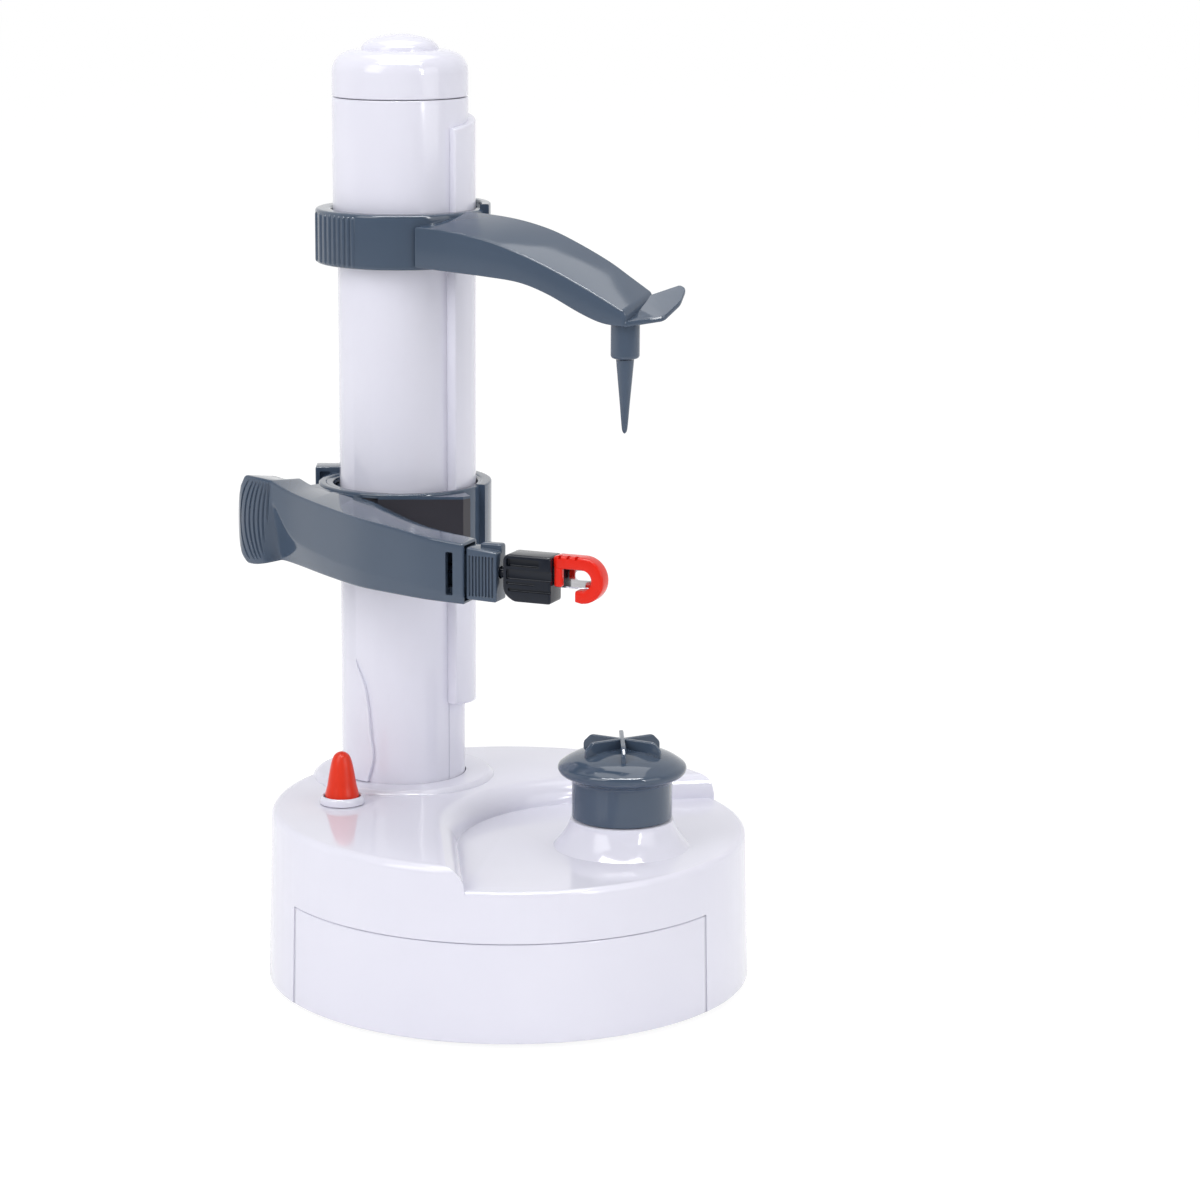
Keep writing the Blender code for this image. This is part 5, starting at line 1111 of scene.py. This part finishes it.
def lug():
    low = COLLAR_TO_Z - ARM_DEPTH * LUG_DROP_SHARE
    high = COLLAR_TO_Z + LUG_RISE
    spot = COLUMN + polar(COLLAR_OUT, LUG_ANGLE).to_2d() - Vector((LUG_SIDE / 4, 0.0))
    left = spot.x - LUG_SIDE / 2
    outer = soften(rectangle(left, spot.x + LUG_SIDE / 2, low, high), LUG_CORNER)
    room = soften(rectangle(left + THIN_WALL, spot.x + THIN_WALL / 2, low + THIN_WALL, high - THIN_WALL),
                  LUG_ROOM_CORNER)

    def place(point, level):
        return Vector((point.x, level, point.y))

    return [join(pillow(outer, spot.y, spot.y + LUG_SIDE, LUG_EDGE, place)),
            cut(pillow(room, spot.y - OVERRUN, spot.y + THIN_WALL, GAP, place))]


def arm_web(rows):
    """The web between the collar's left side and the arm's back."""
    web = [COLUMN + polar(COLLAR_OUT - THIN_WALL, angle).to_2d() for angle in WEB_ANGLES]
    for station in WEB_ROWS:
        row = row_at(rows, station * ROW_PARTS)
        back = Vector(row[2:4])
        web.append(back + (Vector(row[:2]) - back).normalized() * WALL / 2)
    return prism(web, COLLAR_FROM_Z + GAP, WEB_TOP_Z)


def collar_plate():
    """The flat plate that the collar has at its front."""
    reach = COLLAR_OUT + THIN_WALL / 2
    plate = [COLUMN + polar(COLLAR_OUT - THIN_WALL, angle).to_2d() for angle in PLATE_ANGLES]
    plate += [COLUMN + Vector((reach * x, reach * y)) for x, y in PLATE_SHARES]
    return prism(plate, COLLAR_FROM_Z + GAP * 2, COLLAR_TO_Z - GAP * 2)


def blade_seat():
    """Room in the arm's end for the latch, its tail and the rod, and the slot through the arm's front."""
    half = LATCH_THICK / 2 + RUN
    high = LATCH_HALF + RUN
    mouth = LATCH_TRAVEL + RUN
    tail_end = TAIL_LENGTH + mouth
    tail_half = TAIL_THICK / 2 + RUN
    tail_high = TAIL_HALF + RUN
    slot = rectangle(-mouth - WALL, -mouth, ARM_SLOT_LOW, ARM_SLOT_HIGH)
    return [
        cut(tip_block(-mouth, OVERRUN, -half, half, -LATCH_DROP - high, high - LATCH_DROP)),
        cut(tip_block(-tail_end, -LATCH_TRAVEL / 2, -tail_half, tail_half, -tail_high, tail_high)),
        cut(tip_rod([(-tail_end - ROD_TAIL, ROD_BORE_R), (-LATCH_TRAVEL, ROD_BORE_R)], POST_ROUND)),
        cut(tip_pillow(slot, tail_half / 2, TIP_WIDTH, GAP / 3)),
    ]


def peeling_arm():
    collar = soften(rectangle(COLLAR_BORE, COLLAR_OUT, COLLAR_FROM_Z, COLLAR_TO_Z), SOFT_EDGE)
    rows = arm_rows(ROW_PARTS)
    arm = [arm_section(rows, station, inset) for station, inset in arm_stations(rows)]
    inner = COLLAR_OUT - THIN_WALL
    back = rectangle(inner, COLLAR_OUT + BACK_THICK, COLLAR_FROM_Z - THIN_WALL, COLLAR_TO_Z + GAP)
    lip = rectangle(COLUMN_R + RAMP_RISE + RUN * 2, inner, CARRIAGE_TO_Z + RUN, COLLAR_TO_Z - GAP)
    changes = [
        join(loft(arm, ARM_SECTION_TOP)),
        cut(channel(rows, 4, 7, 2)),
        join(sector(*BACK_ANGLES, RING_STEPS, COLUMN, soften(back, BACK_EDGE))),
        *lug(),
        join(arm_web(rows)),
        join(collar_plate()),
        join(sector(*LIP_ANGLES, LIP_STEPS, COLUMN, soften(lip, LIP_EDGE))),
        *blade_seat(),
    ]
    for k in range(GRIP_RIBS):
        changes.append(cut(grip_groove(rows, GRIP_RIB_FROM + GRIP_RIB_PITCH * k)))
    body = turned(collar, COLUMN)
    piece("moulded_peeling_arm", "peeling_arm", "slate_plastic", body, changes, ["peeling_arm"])


def collar_painted_shade():
    """Painted shade and painted reflection: a darker, glossier sheet on the collar's front under the arm."""
    reach = COLLAR_OUT + THIN_WALL / 2
    spots = [polar(COLLAR_OUT, math.radians(a)).to_2d() for a in SHADE_SHEET_ANGLES]
    spots += [Vector((reach * x, reach * y)) for x, y in PLATE_SHARES]
    outer = [COLUMN + spot + spot.normalized() * SHADE_SHEET_OUT for spot in spots]
    inner = [COLUMN + spot - spot.normalized() * SHADE_SHEET_DEEP for spot in reversed(spots)]
    face = prism(outer + inner, COLLAR_FROM_Z + WALL / 2, COLLAR_TO_Z - THIN_WALL)
    piece("collar_painted_shade", "peeling_arm", "slate_plastic", face, (), ["peeling_arm"], SHADE_SHEET_CREASE,
          "slate_painted_shade")


# Lift carriage

NUT_R = 4.4 * MM
NUT_WALL = 4.2 * MM
NUT_HALF = 6.0 * MM
CARRIAGE_HALF_GAP = math.radians(52.0)
CARRIAGE_DENT_FROM = math.radians(184.0)
CARRIAGE_DENT_TO = math.radians(253.0)
CARRIAGE_STEPS = 120


def carriage():
    ring_in = COLUMN_R + RUN

    def ring(angle):
        inner = ring_in + (RAMP_RISE if CARRIAGE_DENT_FROM < angle < CARRIAGE_DENT_TO else 0.0)
        return ((inner, CARRIAGE_FROM_Z), (SPINE_R - GAP, CARRIAGE_FROM_Z), (SPINE_R, CARRIAGE_FROM_Z + GAP),
                (SPINE_R, CARRIAGE_TO_Z - GAP), (SPINE_R - GAP, CARRIAGE_TO_Z), (inner, CARRIAGE_TO_Z))

    key = SLOT_WIDTH / 2 - RUN
    key_outline = rectangle(-key, key, NUT_R + WALL, ring_in + WALL / 2)
    middle = (CARRIAGE_FROM_Z + CARRIAGE_TO_Z) / 2
    low = middle - NUT_HALF
    high = middle + NUT_HALF
    changes = [
        join(prism([COLUMN + Vector(p) for p in key_outline], low, high)),
        join(cylinder(NUT_R + NUT_WALL, low, high, COLUMN)),
        cut(cylinder(NUT_R, low - OVERRUN, high + OVERRUN, COLUMN)),
    ]
    open_ring = sector(CARRIAGE_HALF_GAP, math.tau - CARRIAGE_HALF_GAP, CARRIAGE_STEPS, COLUMN, ring)
    piece("moulded_carriage", "carriage", "slate_plastic", open_ring, changes, ["lift_carriage"])


# Blade group: latch, rod, head, guard and blade

LATCH_EDGE = 0.5 * MM
LATCH_SLANT = 1.0 * MM
LATCH_TOP = 8.2 * MM
LATCH_GROOVES = 8
LATCH_MARGIN = 0.9 * MM
LATCH_GROOVE_DEPTH = 0.55 * MM
LATCH_GROOVE_CORNER = 0.25 * MM
# How much of the pitch a groove takes, and how much the last pitch falls short
LATCH_GROOVE_SHARE = 0.58
LATCH_SHORT_SHARE = 0.4
ROD_R = 1.5 * MM
ROD_STOP_WIDTH = 0.2 * MM
ROD_STOP_FROM = 1.2 * MM
ROD_IN_HEAD = 7.0 * MM
HEAD_START = 12.3 * MM
HEAD_LENGTH = 15.0 * MM
HEAD_HALF = 7.2 * MM
HEAD_THICK = 8.4 * MM
HEAD_EDGE = 0.6 * MM
HEAD_END = HEAD_START + HEAD_LENGTH
HEAD_BORE_R = 1.8 * MM
HEAD_SHOULDER = 0.8 * MM
# The head's outline as (along, height) points
HEAD_OUTLINE = (
    (HEAD_START, HEAD_HALF - 2.0 * MM), (HEAD_START + 1.2 * MM, HEAD_HALF - HEAD_SHOULDER),
    (HEAD_END, HEAD_HALF - HEAD_SHOULDER), (HEAD_END, -HEAD_HALF - GAP),
    (HEAD_START + 3.4 * MM, -HEAD_HALF - GAP), (HEAD_START + 1.0 * MM, -6.0 * MM), (HEAD_START, -4.0 * MM),
)
# The head's grooves: how far from its start and from its end they run, then low, high and depth
HEAD_GROOVE_FROM = 1.1 * MM
HEAD_GROOVE_EDGE = 0.2 * MM
HEAD_GROOVES = (
    (0.0, -3.6 * MM, 2.9 * MM, 5.2 * MM, 1.6 * MM), (0.0, OVERRUN, -0.9 * MM, 2.1 * MM, 0.9 * MM),
    (0.0, -5.0 * MM, -2.4 * MM, -1.5 * MM, 0.6 * MM), (0.6 * MM, OVERRUN, -4.4 * MM, -3.5 * MM, 0.7 * MM),
)
RIVET_AT = HEAD_END - 5.0 * MM
RIVET_HOLE_R = 1.4 * MM
RIVET_R = 1.1 * MM
RIVET_HEAD_R = 1.98 * MM
GUARD_START = HEAD_END + GAP
GUARD_LENGTH = 15.6 * MM
GUARD_BAND = 3.8 * MM
GUARD_THICK = 5.0 * MM
GUARD_EDGE = 0.8 * MM
GUARD_END_SHARE = 0.86
GUARD_RUN_STEPS = 8
GUARD_BEND_STEPS = 32
LEG_WIDTH = 2.4 * MM
NOTCHES = 3
NOTCH_FROM = 1.4 * MM
NOTCH_PITCH = 2.6 * MM
NOTCH_WIDTH = 0.9 * MM
NOTCH_DEPTH = 1.6 * MM
BLADE_THICK = 0.6 * MM
BLADE_HALF = 4.0 * MM
BLADE_CORNER = 1.2 * MM
BLADE_BEVEL = 0.5 * MM
BLADE_BOW = 6.0 * MM
BLADE_STEPS = 36
BLADE_SLOT_CORNER = 1.3 * MM
FINE_EDGE = 0.15 * MM


def latch():
    front = LATCH_THICK / 2
    low = -LATCH_HALF - LATCH_DROP
    high = LATCH_HALF - LATCH_DROP
    outline = [(GAP, low + GAP), (LATCH_LENGTH, low), (LATCH_LENGTH, high - LATCH_SLANT), (GAP, high)]
    block = tip_pillow(rectangle(LATCH_TRAVEL + GAP, LATCH_LENGTH, 0.0, LATCH_TOP), -front, 0.0, LATCH_EDGE,
                       LATCH_SLANT)
    tail = TAIL_THICK / 2
    changes = [
        join(block),
        join(tip_block(-LATCH_TRAVEL, WALL, -tail, tail, -TAIL_HALF, TAIL_HALF)),
        cut(tip_rod([(-TAIL_LENGTH - OVERRUN, ROD_BORE_R), (LATCH_LENGTH + OVERRUN, ROD_BORE_R)])),
    ]
    pitch = (LATCH_LENGTH - GAP - 2 * LATCH_MARGIN) / (LATCH_GROOVES - LATCH_SHORT_SHARE)
    for k in range(LATCH_GROOVES):
        start = GAP + LATCH_MARGIN + pitch * k
        groove = rectangle(start, start + pitch * LATCH_GROOVE_SHARE, low + THIN_WALL, high - WALL)
        changes.append(cut(tip_pillow(groove, front - LATCH_GROOVE_DEPTH, front + OVERRUN, FINE_EDGE,
                                      LATCH_GROOVE_CORNER, 2)))
    piece("ribbed_latch", "latch", "slate_plastic", tip_pillow(outline, -front, front, LATCH_EDGE), changes,
          ["blade_latch"], BLOCK_CREASE)


def rod():
    start = GAP - TAIL_LENGTH - LATCH_TRAVEL - ROD_TAIL
    end = HEAD_START + ROD_IN_HEAD
    stop = HEAD_START - ROD_STOP_FROM
    rings = [
        (start, ROD_R - GAP), (start + GAP, ROD_R), (stop, ROD_R), (stop + ROD_STOP_WIDTH, ROD_R + GAP),
        (HEAD_START - GAP, ROD_R + GAP), (HEAD_START - GAP, ROD_R), (end - GAP, ROD_R), (end, ROD_R - GAP),
    ]
    piece("black_rod", "blade", "black_plastic", tip_rod(rings), (), ["blade_rod"])


def head():
    front = HEAD_THICK / 2
    body = tip_pillow(HEAD_OUTLINE, -front, front, HEAD_EDGE, HEAD_EDGE * 1.5)
    begin = HEAD_START + HEAD_GROOVE_FROM
    bore_end = HEAD_START + ROD_IN_HEAD + GAP
    changes = []
    for left, right, low, high, depth in HEAD_GROOVES:
        groove = rectangle(begin + left, HEAD_END + right, low, high)
        changes.append(cut(tip_pillow(groove, front - depth, front + OVERRUN, HEAD_GROOVE_EDGE,
                                      HEAD_GROOVE_EDGE * 2, 3)))
    changes.append(cut(tip_rod([(HEAD_START - OVERRUN, HEAD_BORE_R), (bore_end, HEAD_BORE_R)])))
    changes.append(cut(cross_rod(RIVET_HOLE_R, RIVET_AT, -front - OVERRUN, WALL - front)))
    piece("moulded_head", "blade", "black_plastic", body, changes, ["blade_head"], BLOCK_CREASE)


def cross_rod(radius, along, front_from, front_to, round_end=0.0, steps=PIN_ROUND):
    """A round pin across the blade's axis, with one soft end where asked."""
    rings = [(front_from, radius - round_end), (front_from + round_end, radius), (front_to, radius)]
    if not round_end:
        rings = rings[1:]
    sections = []
    for front, reach in rings:
        ring = (polar(reach, math.tau * i / steps) for i in range(steps))
        sections.append([tip_point(along + p.x, front, BLADE_AXIS_Z + p.y) for p in ring])
    return loft(sections)


def guard():
    """A rounded band that runs along the head's end, bends round the blade and ends below it."""
    big = HEAD_HALF - RUN
    bend = GUARD_START + GUARD_LENGTH - big - GAP
    front = GUARD_THICK / 2
    half = GUARD_BAND / 2
    middle = big - half
    corners = soften(rectangle(-half, half, -front, front), GUARD_EDGE)
    path = []
    for k in range(GUARD_RUN_STEPS):
        along = GUARD_START + (bend - GUARD_START) * k / GUARD_RUN_STEPS
        path.append((Vector((along, middle)), math.pi / 2))
    for k in range(GUARD_BEND_STEPS + 1):
        angle = math.pi / 2 - math.pi * k / GUARD_BEND_STEPS
        path.append((Vector((bend, 0.0)) + polar(middle, angle).to_2d(), angle))
    path.append((Vector((bend - half, -middle)), -math.pi / 2))
    sections = []
    for k, (spot, angle) in enumerate(path):
        out = polar(1.0, angle).to_2d()
        share = GUARD_END_SHARE if k in (0, len(path) - 1) else 1.0
        sections.append([tip_place(spot + out * p.x * share, p.y * share) for p in corners])
    leg = rectangle(GUARD_START, GUARD_START + LEG_WIDTH, -LEG_WIDTH, middle)
    changes = [join(tip_pillow(leg, GAP, front - GAP, GUARD_EDGE / 2))]
    for k in range(NOTCHES):
        left = GUARD_START + NOTCH_FROM + NOTCH_PITCH * k
        foot = big - NOTCH_WIDTH
        notch = [(left, foot), (left + NOTCH_WIDTH, foot), (left + NOTCH_WIDTH + GAP, big + OVERRUN),
                 (left - GAP, big + OVERRUN)]
        changes.append(cut(tip_pillow(notch, front - NOTCH_DEPTH, front + OVERRUN, FINE_EDGE, FINE_EDGE, 2)))
    piece("moulded_guard", "blade", "red_plastic", loft(sections), changes, ["blade_guard"], BLOCK_CREASE)


def blade():
    strip_from = RIVET_AT - GUARD_BAND
    strip_length = GUARD_START + GUARD_LENGTH - GUARD_BAND - strip_from
    back = -HEAD_THICK / 2 - GAP
    sections = []
    for i in range(BLADE_STEPS + 1):
        share = i / BLADE_STEPS
        along = strip_from + strip_length * share
        spot = back - BLADE_THICK - BLADE_BOW * max(0.0, share - 1 / 2) ** 2
        end = min(share, 1 - share) * strip_length
        reach = BLADE_HALF - BLADE_CORNER * max(0.0, 1 - end / BLADE_CORNER) ** 2
        keen = reach - BLADE_BEVEL
        middle = spot + BLADE_THICK / 2
        far = spot + BLADE_THICK
        profile = ((-reach, middle), (-keen, spot), (keen, spot), (reach, middle), (keen, far), (-keen, far))
        sections.append([tip_point(along, front, BLADE_AXIS_Z + height) for height, front in profile])
    slot_end = GUARD_START + GUARD_LENGTH - HEAD_HALF + GUARD_BAND / 2
    slot = rectangle(GUARD_START + GUARD_BAND, slot_end, -THIN_WALL, THIN_WALL)
    slot = soften(slot, BLADE_SLOT_CORNER, 6)
    changes = [
        cut(loft([[tip_place(p, level) for p in slot] for level in (back - OVERRUN * 2, back + OVERRUN)])),
        cut(cross_rod(RIVET_HOLE_R, RIVET_AT, back - OVERRUN, back + OVERRUN)),
    ]
    piece("ground_blade", "blade", "blade_steel", loft(sections), changes, ["peeling_blade"], BLADE_CREASE)


def rivet():
    front = HEAD_THICK / 2
    face = -front - GAP - BLADE_THICK
    shank = cross_rod(RIVET_R, RIVET_AT, face - GAP * 2, WALL - front - GAP)
    button_head = cross_rod(RIVET_HEAD_R, RIVET_AT, face - THIN_WALL, face - GAP, BLADE_BEVEL)
    piece("domed_rivet", "blade", "steel", shank, [join(button_head)], ["blade_rivet"], BLOCK_CREASE)


# Upper arm: the keyed ring, the curved arm, the thumb tab and the spike's socket

# Each row holds the front edge and the back edge, both along and across the line from column to spike, as
# shares of the span, then low, front crown and back crown as shares of the depth above the ring's underside
UPPER_SHARES = (
    (0.2830, -0.2312, 0.2450, 0.0055, 0.07, 0.795, 0.97),
    (0.4164, -0.2111, 0.3791, 0.0263, 0.036, 0.771, 1.01),
    (0.6106, -0.1820, 0.5730, 0.0511, -0.006, 0.663, 0.952),
    (0.7682, -0.1595, 0.7308, 0.0765, -0.066, 0.47, 0.807),
    (0.8973, -0.1391, 0.8592, 0.0962, -0.235, 0.265, 0.596),
    (1.0407, -0.1169, 1.0038, 0.1154, -0.518, -0.006, 0.307),
    (1.1439, -0.1018, 1.1068, 0.1278, -0.669, -0.217, 0.048),
    (1.2499, -0.0868, 1.2084, 0.1417, -0.705, -0.446, -0.217),
)
# The thumb tab beyond the arm's end, as (along, across, height) shares like those above
TAB_SHARES = (
    (1.2112, -0.0741, -0.60), (1.2499, -0.0868, -0.60), (1.3345, 0.0524, -0.52), (1.3302, 0.1583, -0.30),
    (1.3018, 0.2263, -0.11), (1.2681, 0.2302, -0.08), (1.1964, 0.1220, -0.25), (1.1878, 0.1013, -0.27),
)
TAB_THICK = 1.8 * MM
TAB_EDGE = 0.5 * MM
TAB_CORNER = 1.2 * MM
UPPER_EDGE = 0.55 * MM
UPPER_START_ROUND = 0.5 * MM
UPPER_END_ROUND = 1.4 * MM
# The ring's ribs stand at even distances seen from the front, as shares of its radius
RING_RIBS = 9
RING_RIB_FROM = 0.975
RING_RIB_PITCH = 0.0552
RING_RIB_R = 0.9 * MM
RING_RIB_SINK = 0.45 * MM
RING_RIB_LOW = 0.4 * MM
RING_RIB_HIGH = 0.7 * MM
RING_EDGE = 1.1 * MM
SOCKET_CORNER = 1.2 * MM
RING_BACK_ANGLES = (math.radians(-12.0), math.radians(50.0))
SPIKE_SHARES = ((0.0, 1.0), (0.16, 0.985), (0.30, 0.94), (0.42, 0.80), (0.54, 0.62), (0.78, 0.30), (1.0, 0.0))
REACH_ALONG = (TURNTABLE - COLUMN).normalized()
REACH_ACROSS = Vector((-REACH_ALONG.y, REACH_ALONG.x))


def reach_point(along, across):
    return COLUMN + (REACH_ALONG * along + REACH_ACROSS * across) * UPPER_SPAN


def upper_section(row):
    fx, fy, bx, by, low, front_high, back_high = row
    return soften([(fx, fy, low), (fx, fy, front_high), (bx, by, back_high), (bx, by, low)], UPPER_EDGE)


def thumb_tab():
    outline = anticlockwise(soften([
        upright(reach_point(x, y), RING_FROM_Z + z * UPPER_DEPTH) for x, y, z in TAB_SHARES
    ], TAB_CORNER, 5))
    flat_outline = [p.to_2d() for p in outline]
    third = TAB_EDGE / 3
    levels = ((TAB_THICK, TAB_EDGE), (TAB_THICK - third, third), (TAB_THICK - TAB_EDGE, 0.0), (TAB_EDGE, 0.0),
              (third, third), (0.0, TAB_EDGE))
    sections = []
    for drop, inset in levels:
        spots = inset_outline(flat_outline, inset)
        sections.append([upright(spot, p.z - drop) for spot, p in zip(spots, outline)])
    return loft(sections)


def ring_rib(angle):
    """One upright rounded rib on the ring's outside."""
    spot = COLUMN + polar(RING_OUT - RING_RIB_SINK, angle).to_2d()
    low = RING_FROM_Z + RING_RIB_LOW
    high = RING_TO_Z - RING_RIB_HIGH
    turns = quarter_turns(4)
    profile = [(0.0, low)]
    profile += [(RING_RIB_R * math.sin(a), low + RING_RIB_R * (1 - math.cos(a))) for a in turns[1:]]
    profile += [(RING_RIB_R * math.cos(a), high - RING_RIB_R * (1 - math.sin(a))) for a in turns[:-1]]
    profile.append((0.0, high))
    return turned(profile, spot, RIB_ROUND)


def upper_arm():
    ring = soften(rectangle(RING_BORE, RING_OUT, RING_FROM_Z, RING_TO_Z), RING_EDGE, 6)
    rows = []
    for row in UPPER_SHARES:
        heights = [RING_FROM_Z + share * UPPER_DEPTH for share in row[4:]]
        rows.append([*reach_point(*row[:2]), *reach_point(*row[2:4]), *heights])
    fine = smooth_rows(rows, ROW_PARTS)
    ends = rounded_end(rounded_start(fine, UPPER_START_ROUND), UPPER_END_ROUND)
    changes = [
        join(loft([upper_section(row) for row in ends])),
        cut(channel(fine, 2, 5, 1)),
        join(thumb_tab()),
    ]
    for k in range(RING_RIBS):
        changes.append(join(ring_rib(math.pi + math.acos(RING_RIB_FROM - RING_RIB_PITCH * k))))
    low = RING_FROM_Z - UPPER_DEPTH
    high = RING_TO_Z + UPPER_DEPTH
    key_half = SPINE_HALF + RUN / COLUMN_R
    socket_top = SOCKET_BOTTOM + SOCKET_LENGTH + THIN_WALL
    socket = rectangle(0.0, SOCKET_R, SOCKET_BOTTOM, socket_top)
    socket = soften(socket, SOCKET_CORNER, 6, closed=False)
    shaft_top = SOCKET_BOTTOM + SPIKE_SHAFT + GAP
    back = rectangle(RING_OUT - THIN_WALL, RING_OUT + THIN_WALL, RING_FROM_Z, RING_TO_Z + THIN_WALL)
    key = rectangle(RING_BORE - OVERRUN, SPINE_R + RUN, low, high)
    changes += [
        join(sector(*RING_BACK_ANGLES, RING_STEPS, COLUMN, soften(back, BACK_EDGE))),
        cut(cylinder(RING_BORE, low, high, COLUMN, ROUND)),
        cut(sector(-key_half, key_half, RING_STEPS, COLUMN, key)),
        join(turned(socket, TURNTABLE, SMALL_ROUND)),
        cut(cylinder(SPIKE_SHAFT_R + RUN, SOCKET_BOTTOM - OVERRUN, shaft_top, TURNTABLE)),
    ]
    piece("moulded_upper_arm", "upper_arm", "slate_plastic", turned(ring, COLUMN), changes, ["upper_arm"])


def spike():
    top = SOCKET_BOTTOM - GAP
    profile = [(SPIKE_R * r, top - SPIKE_LENGTH * h) for r, h in smooth_rows(SPIKE_SHARES, 5)]
    profile += [(SPIKE_SHAFT_R, top), (SPIKE_SHAFT_R, top + SPIKE_SHAFT), (0.0, top + SPIKE_SHAFT)]
    body = turned(profile, TURNTABLE, SMALL_ROUND)
    piece("smooth_spike", "spike", "slate_plastic", body, (), ["food_spike"])


for make in (base_housing, tray_with_apron, column, cap, cup, button, bezel, peeling_arm, collar_painted_shade,
             carriage, latch, rod, head, guard, blade, rivet, upper_arm, spike):
    make()


# Floor, backdrop and light

FLOOR_SIZE = 12.0
FLOOR_WHITE = (0.90, 0.90, 0.90, 1.0)
FLOOR_SHARE = 0.8
FLOOR_GLOW = 1.12
WORLD_LIGHT = 0.55
# How dim the front is in reflections, and where it gets bright on the floor and in the sky
DIM_FRONT = 0.30
FLOOR_DIM_SPAN = (-0.75, -0.15)
SKY_DIM_SPAN = (-0.45, 0.15)
PURE_WHITE = (1.0, 1.0, 1.0, 1.0)
AIM = (0.0, 0.0, 0.14)


def stage_plane(name, size, shade):
    half = size / 2
    mesh = bpy.data.meshes.new(name)
    corners = [(x, y, 0.0) for x, y in rectangle(-half, half, -half, half)]
    mesh.from_pydata(corners, [], [(0, 1, 2, 3)])
    made = bpy.data.objects.new(name, mesh)
    bpy.context.scene.collection.objects.link(made)
    made.data.materials.append(shade)
    return made


def maths(nodes, links, operation, first, second):
    """The named operation on two outputs, or on an output and a number."""
    made = nodes.new("ShaderNodeMath")
    made.operation = operation
    links.new(first, made.inputs[0])
    if isinstance(second, float):
        made.inputs[1].default_value = second
    else:
        links.new(second, made.inputs[1])
    return made.outputs["Value"]


def ray_kind(nodes, links):
    """One where the camera or a reflection looks, and nothing for the light that falls on the object."""
    path = nodes.new("ShaderNodeLightPath")
    camera_ray = path.outputs["Is Camera Ray"]
    return camera_ray, maths(nodes, links, "MAXIMUM", camera_ray, path.outputs["Is Glossy Ray"])


def dimmed_front(nodes, links, source, span, camera_ray):
    """White behind the object and dim in front of it, for reflections only."""
    split = nodes.new("ShaderNodeSeparateXYZ")
    links.new(source, split.inputs["Vector"])
    level = spread(nodes, links, split.outputs["Y"], DIM_FRONT, 1.0, *span)
    return maths(nodes, links, "MAXIMUM", level, camera_ray)


def floor_material():
    """A white floor that shows as the white background to the camera and still takes the object's shadow."""
    made, nodes, links, shader = shader_material("floor_white")
    shader.inputs["Base Color"].default_value = FLOOR_WHITE
    shader.inputs["Roughness"].default_value = 0.9
    camera_ray, seen = ray_kind(nodes, links)
    place = nodes.new("ShaderNodeTexCoord")
    bright = dimmed_front(nodes, links, place.outputs["Object"], FLOOR_DIM_SPAN, camera_ray)
    glow = node(nodes, "ShaderNodeEmission", {"Color": PURE_WHITE})
    links.new(maths(nodes, links, "MULTIPLY", bright, FLOOR_GLOW), glow.inputs["Strength"])
    blend = nodes.new("ShaderNodeMixShader")
    links.new(maths(nodes, links, "MULTIPLY", seen, FLOOR_SHARE), blend.inputs["Fac"])
    links.new(shader.outputs["BSDF"], blend.inputs[1])
    links.new(glow.outputs["Emission"], blend.inputs[2])
    links.new(blend.outputs["Shader"], nodes["Material Output"].inputs["Surface"])
    return made


def studio_world():
    """A white studio that lights the object softly and shows white to the camera."""
    world = bpy.data.worlds.new("studio")
    bpy.context.scene.world = world
    world.use_nodes = True
    nodes = world.node_tree.nodes
    links = world.node_tree.links
    nodes["Background"].inputs["Color"].default_value = PURE_WHITE
    camera_ray, seen = ray_kind(nodes, links)
    sky = nodes.new("ShaderNodeTexCoord")
    mirrored = dimmed_front(nodes, links, sky.outputs["Generated"], SKY_DIM_SPAN, camera_ray)
    level = node(nodes, "ShaderNodeMix", {"A": WORLD_LIGHT})
    links.new(seen, level.inputs["Factor"])
    links.new(mirrored, level.inputs["B"])
    links.new(level.outputs["Result"], nodes["Background"].inputs["Strength"])


def softbox(name, size, place, power, mirrored_only=False):
    """A soft lamp aimed at the object; one that is only mirrored gives highlights and no other light."""
    data = bpy.data.lights.new(name, "AREA")
    data.shape = "RECTANGLE"
    data.size = size[0]
    data.size_y = size[1]
    data.energy = power
    made = bpy.data.objects.new(name, data)
    made.location = place
    made.rotation_euler = (Vector(AIM) - Vector(place)).to_track_quat("-Z", "Y").to_euler()
    made.visible_diffuse = not mirrored_only
    bpy.context.scene.collection.objects.link(made)


stage_plane("floor", FLOOR_SIZE, floor_material())
studio_world()
softbox("key", (0.9, 1.2), (-1.1, -1.0, 1.1), 12.5)
softbox("fill", (0.9, 1.2), (1.3, -0.9, 0.7), 6.5)
softbox("top", (1.2, 1.2), (0.0, 0.3, 1.6), 8.2)
softbox("strip", (1.3, 0.35), (0.0, -0.42, 1.5), 34.0, True)
softbox("side_strip", (0.12, 0.9), (0.95, -1.15, 0.75), 5.0, True)
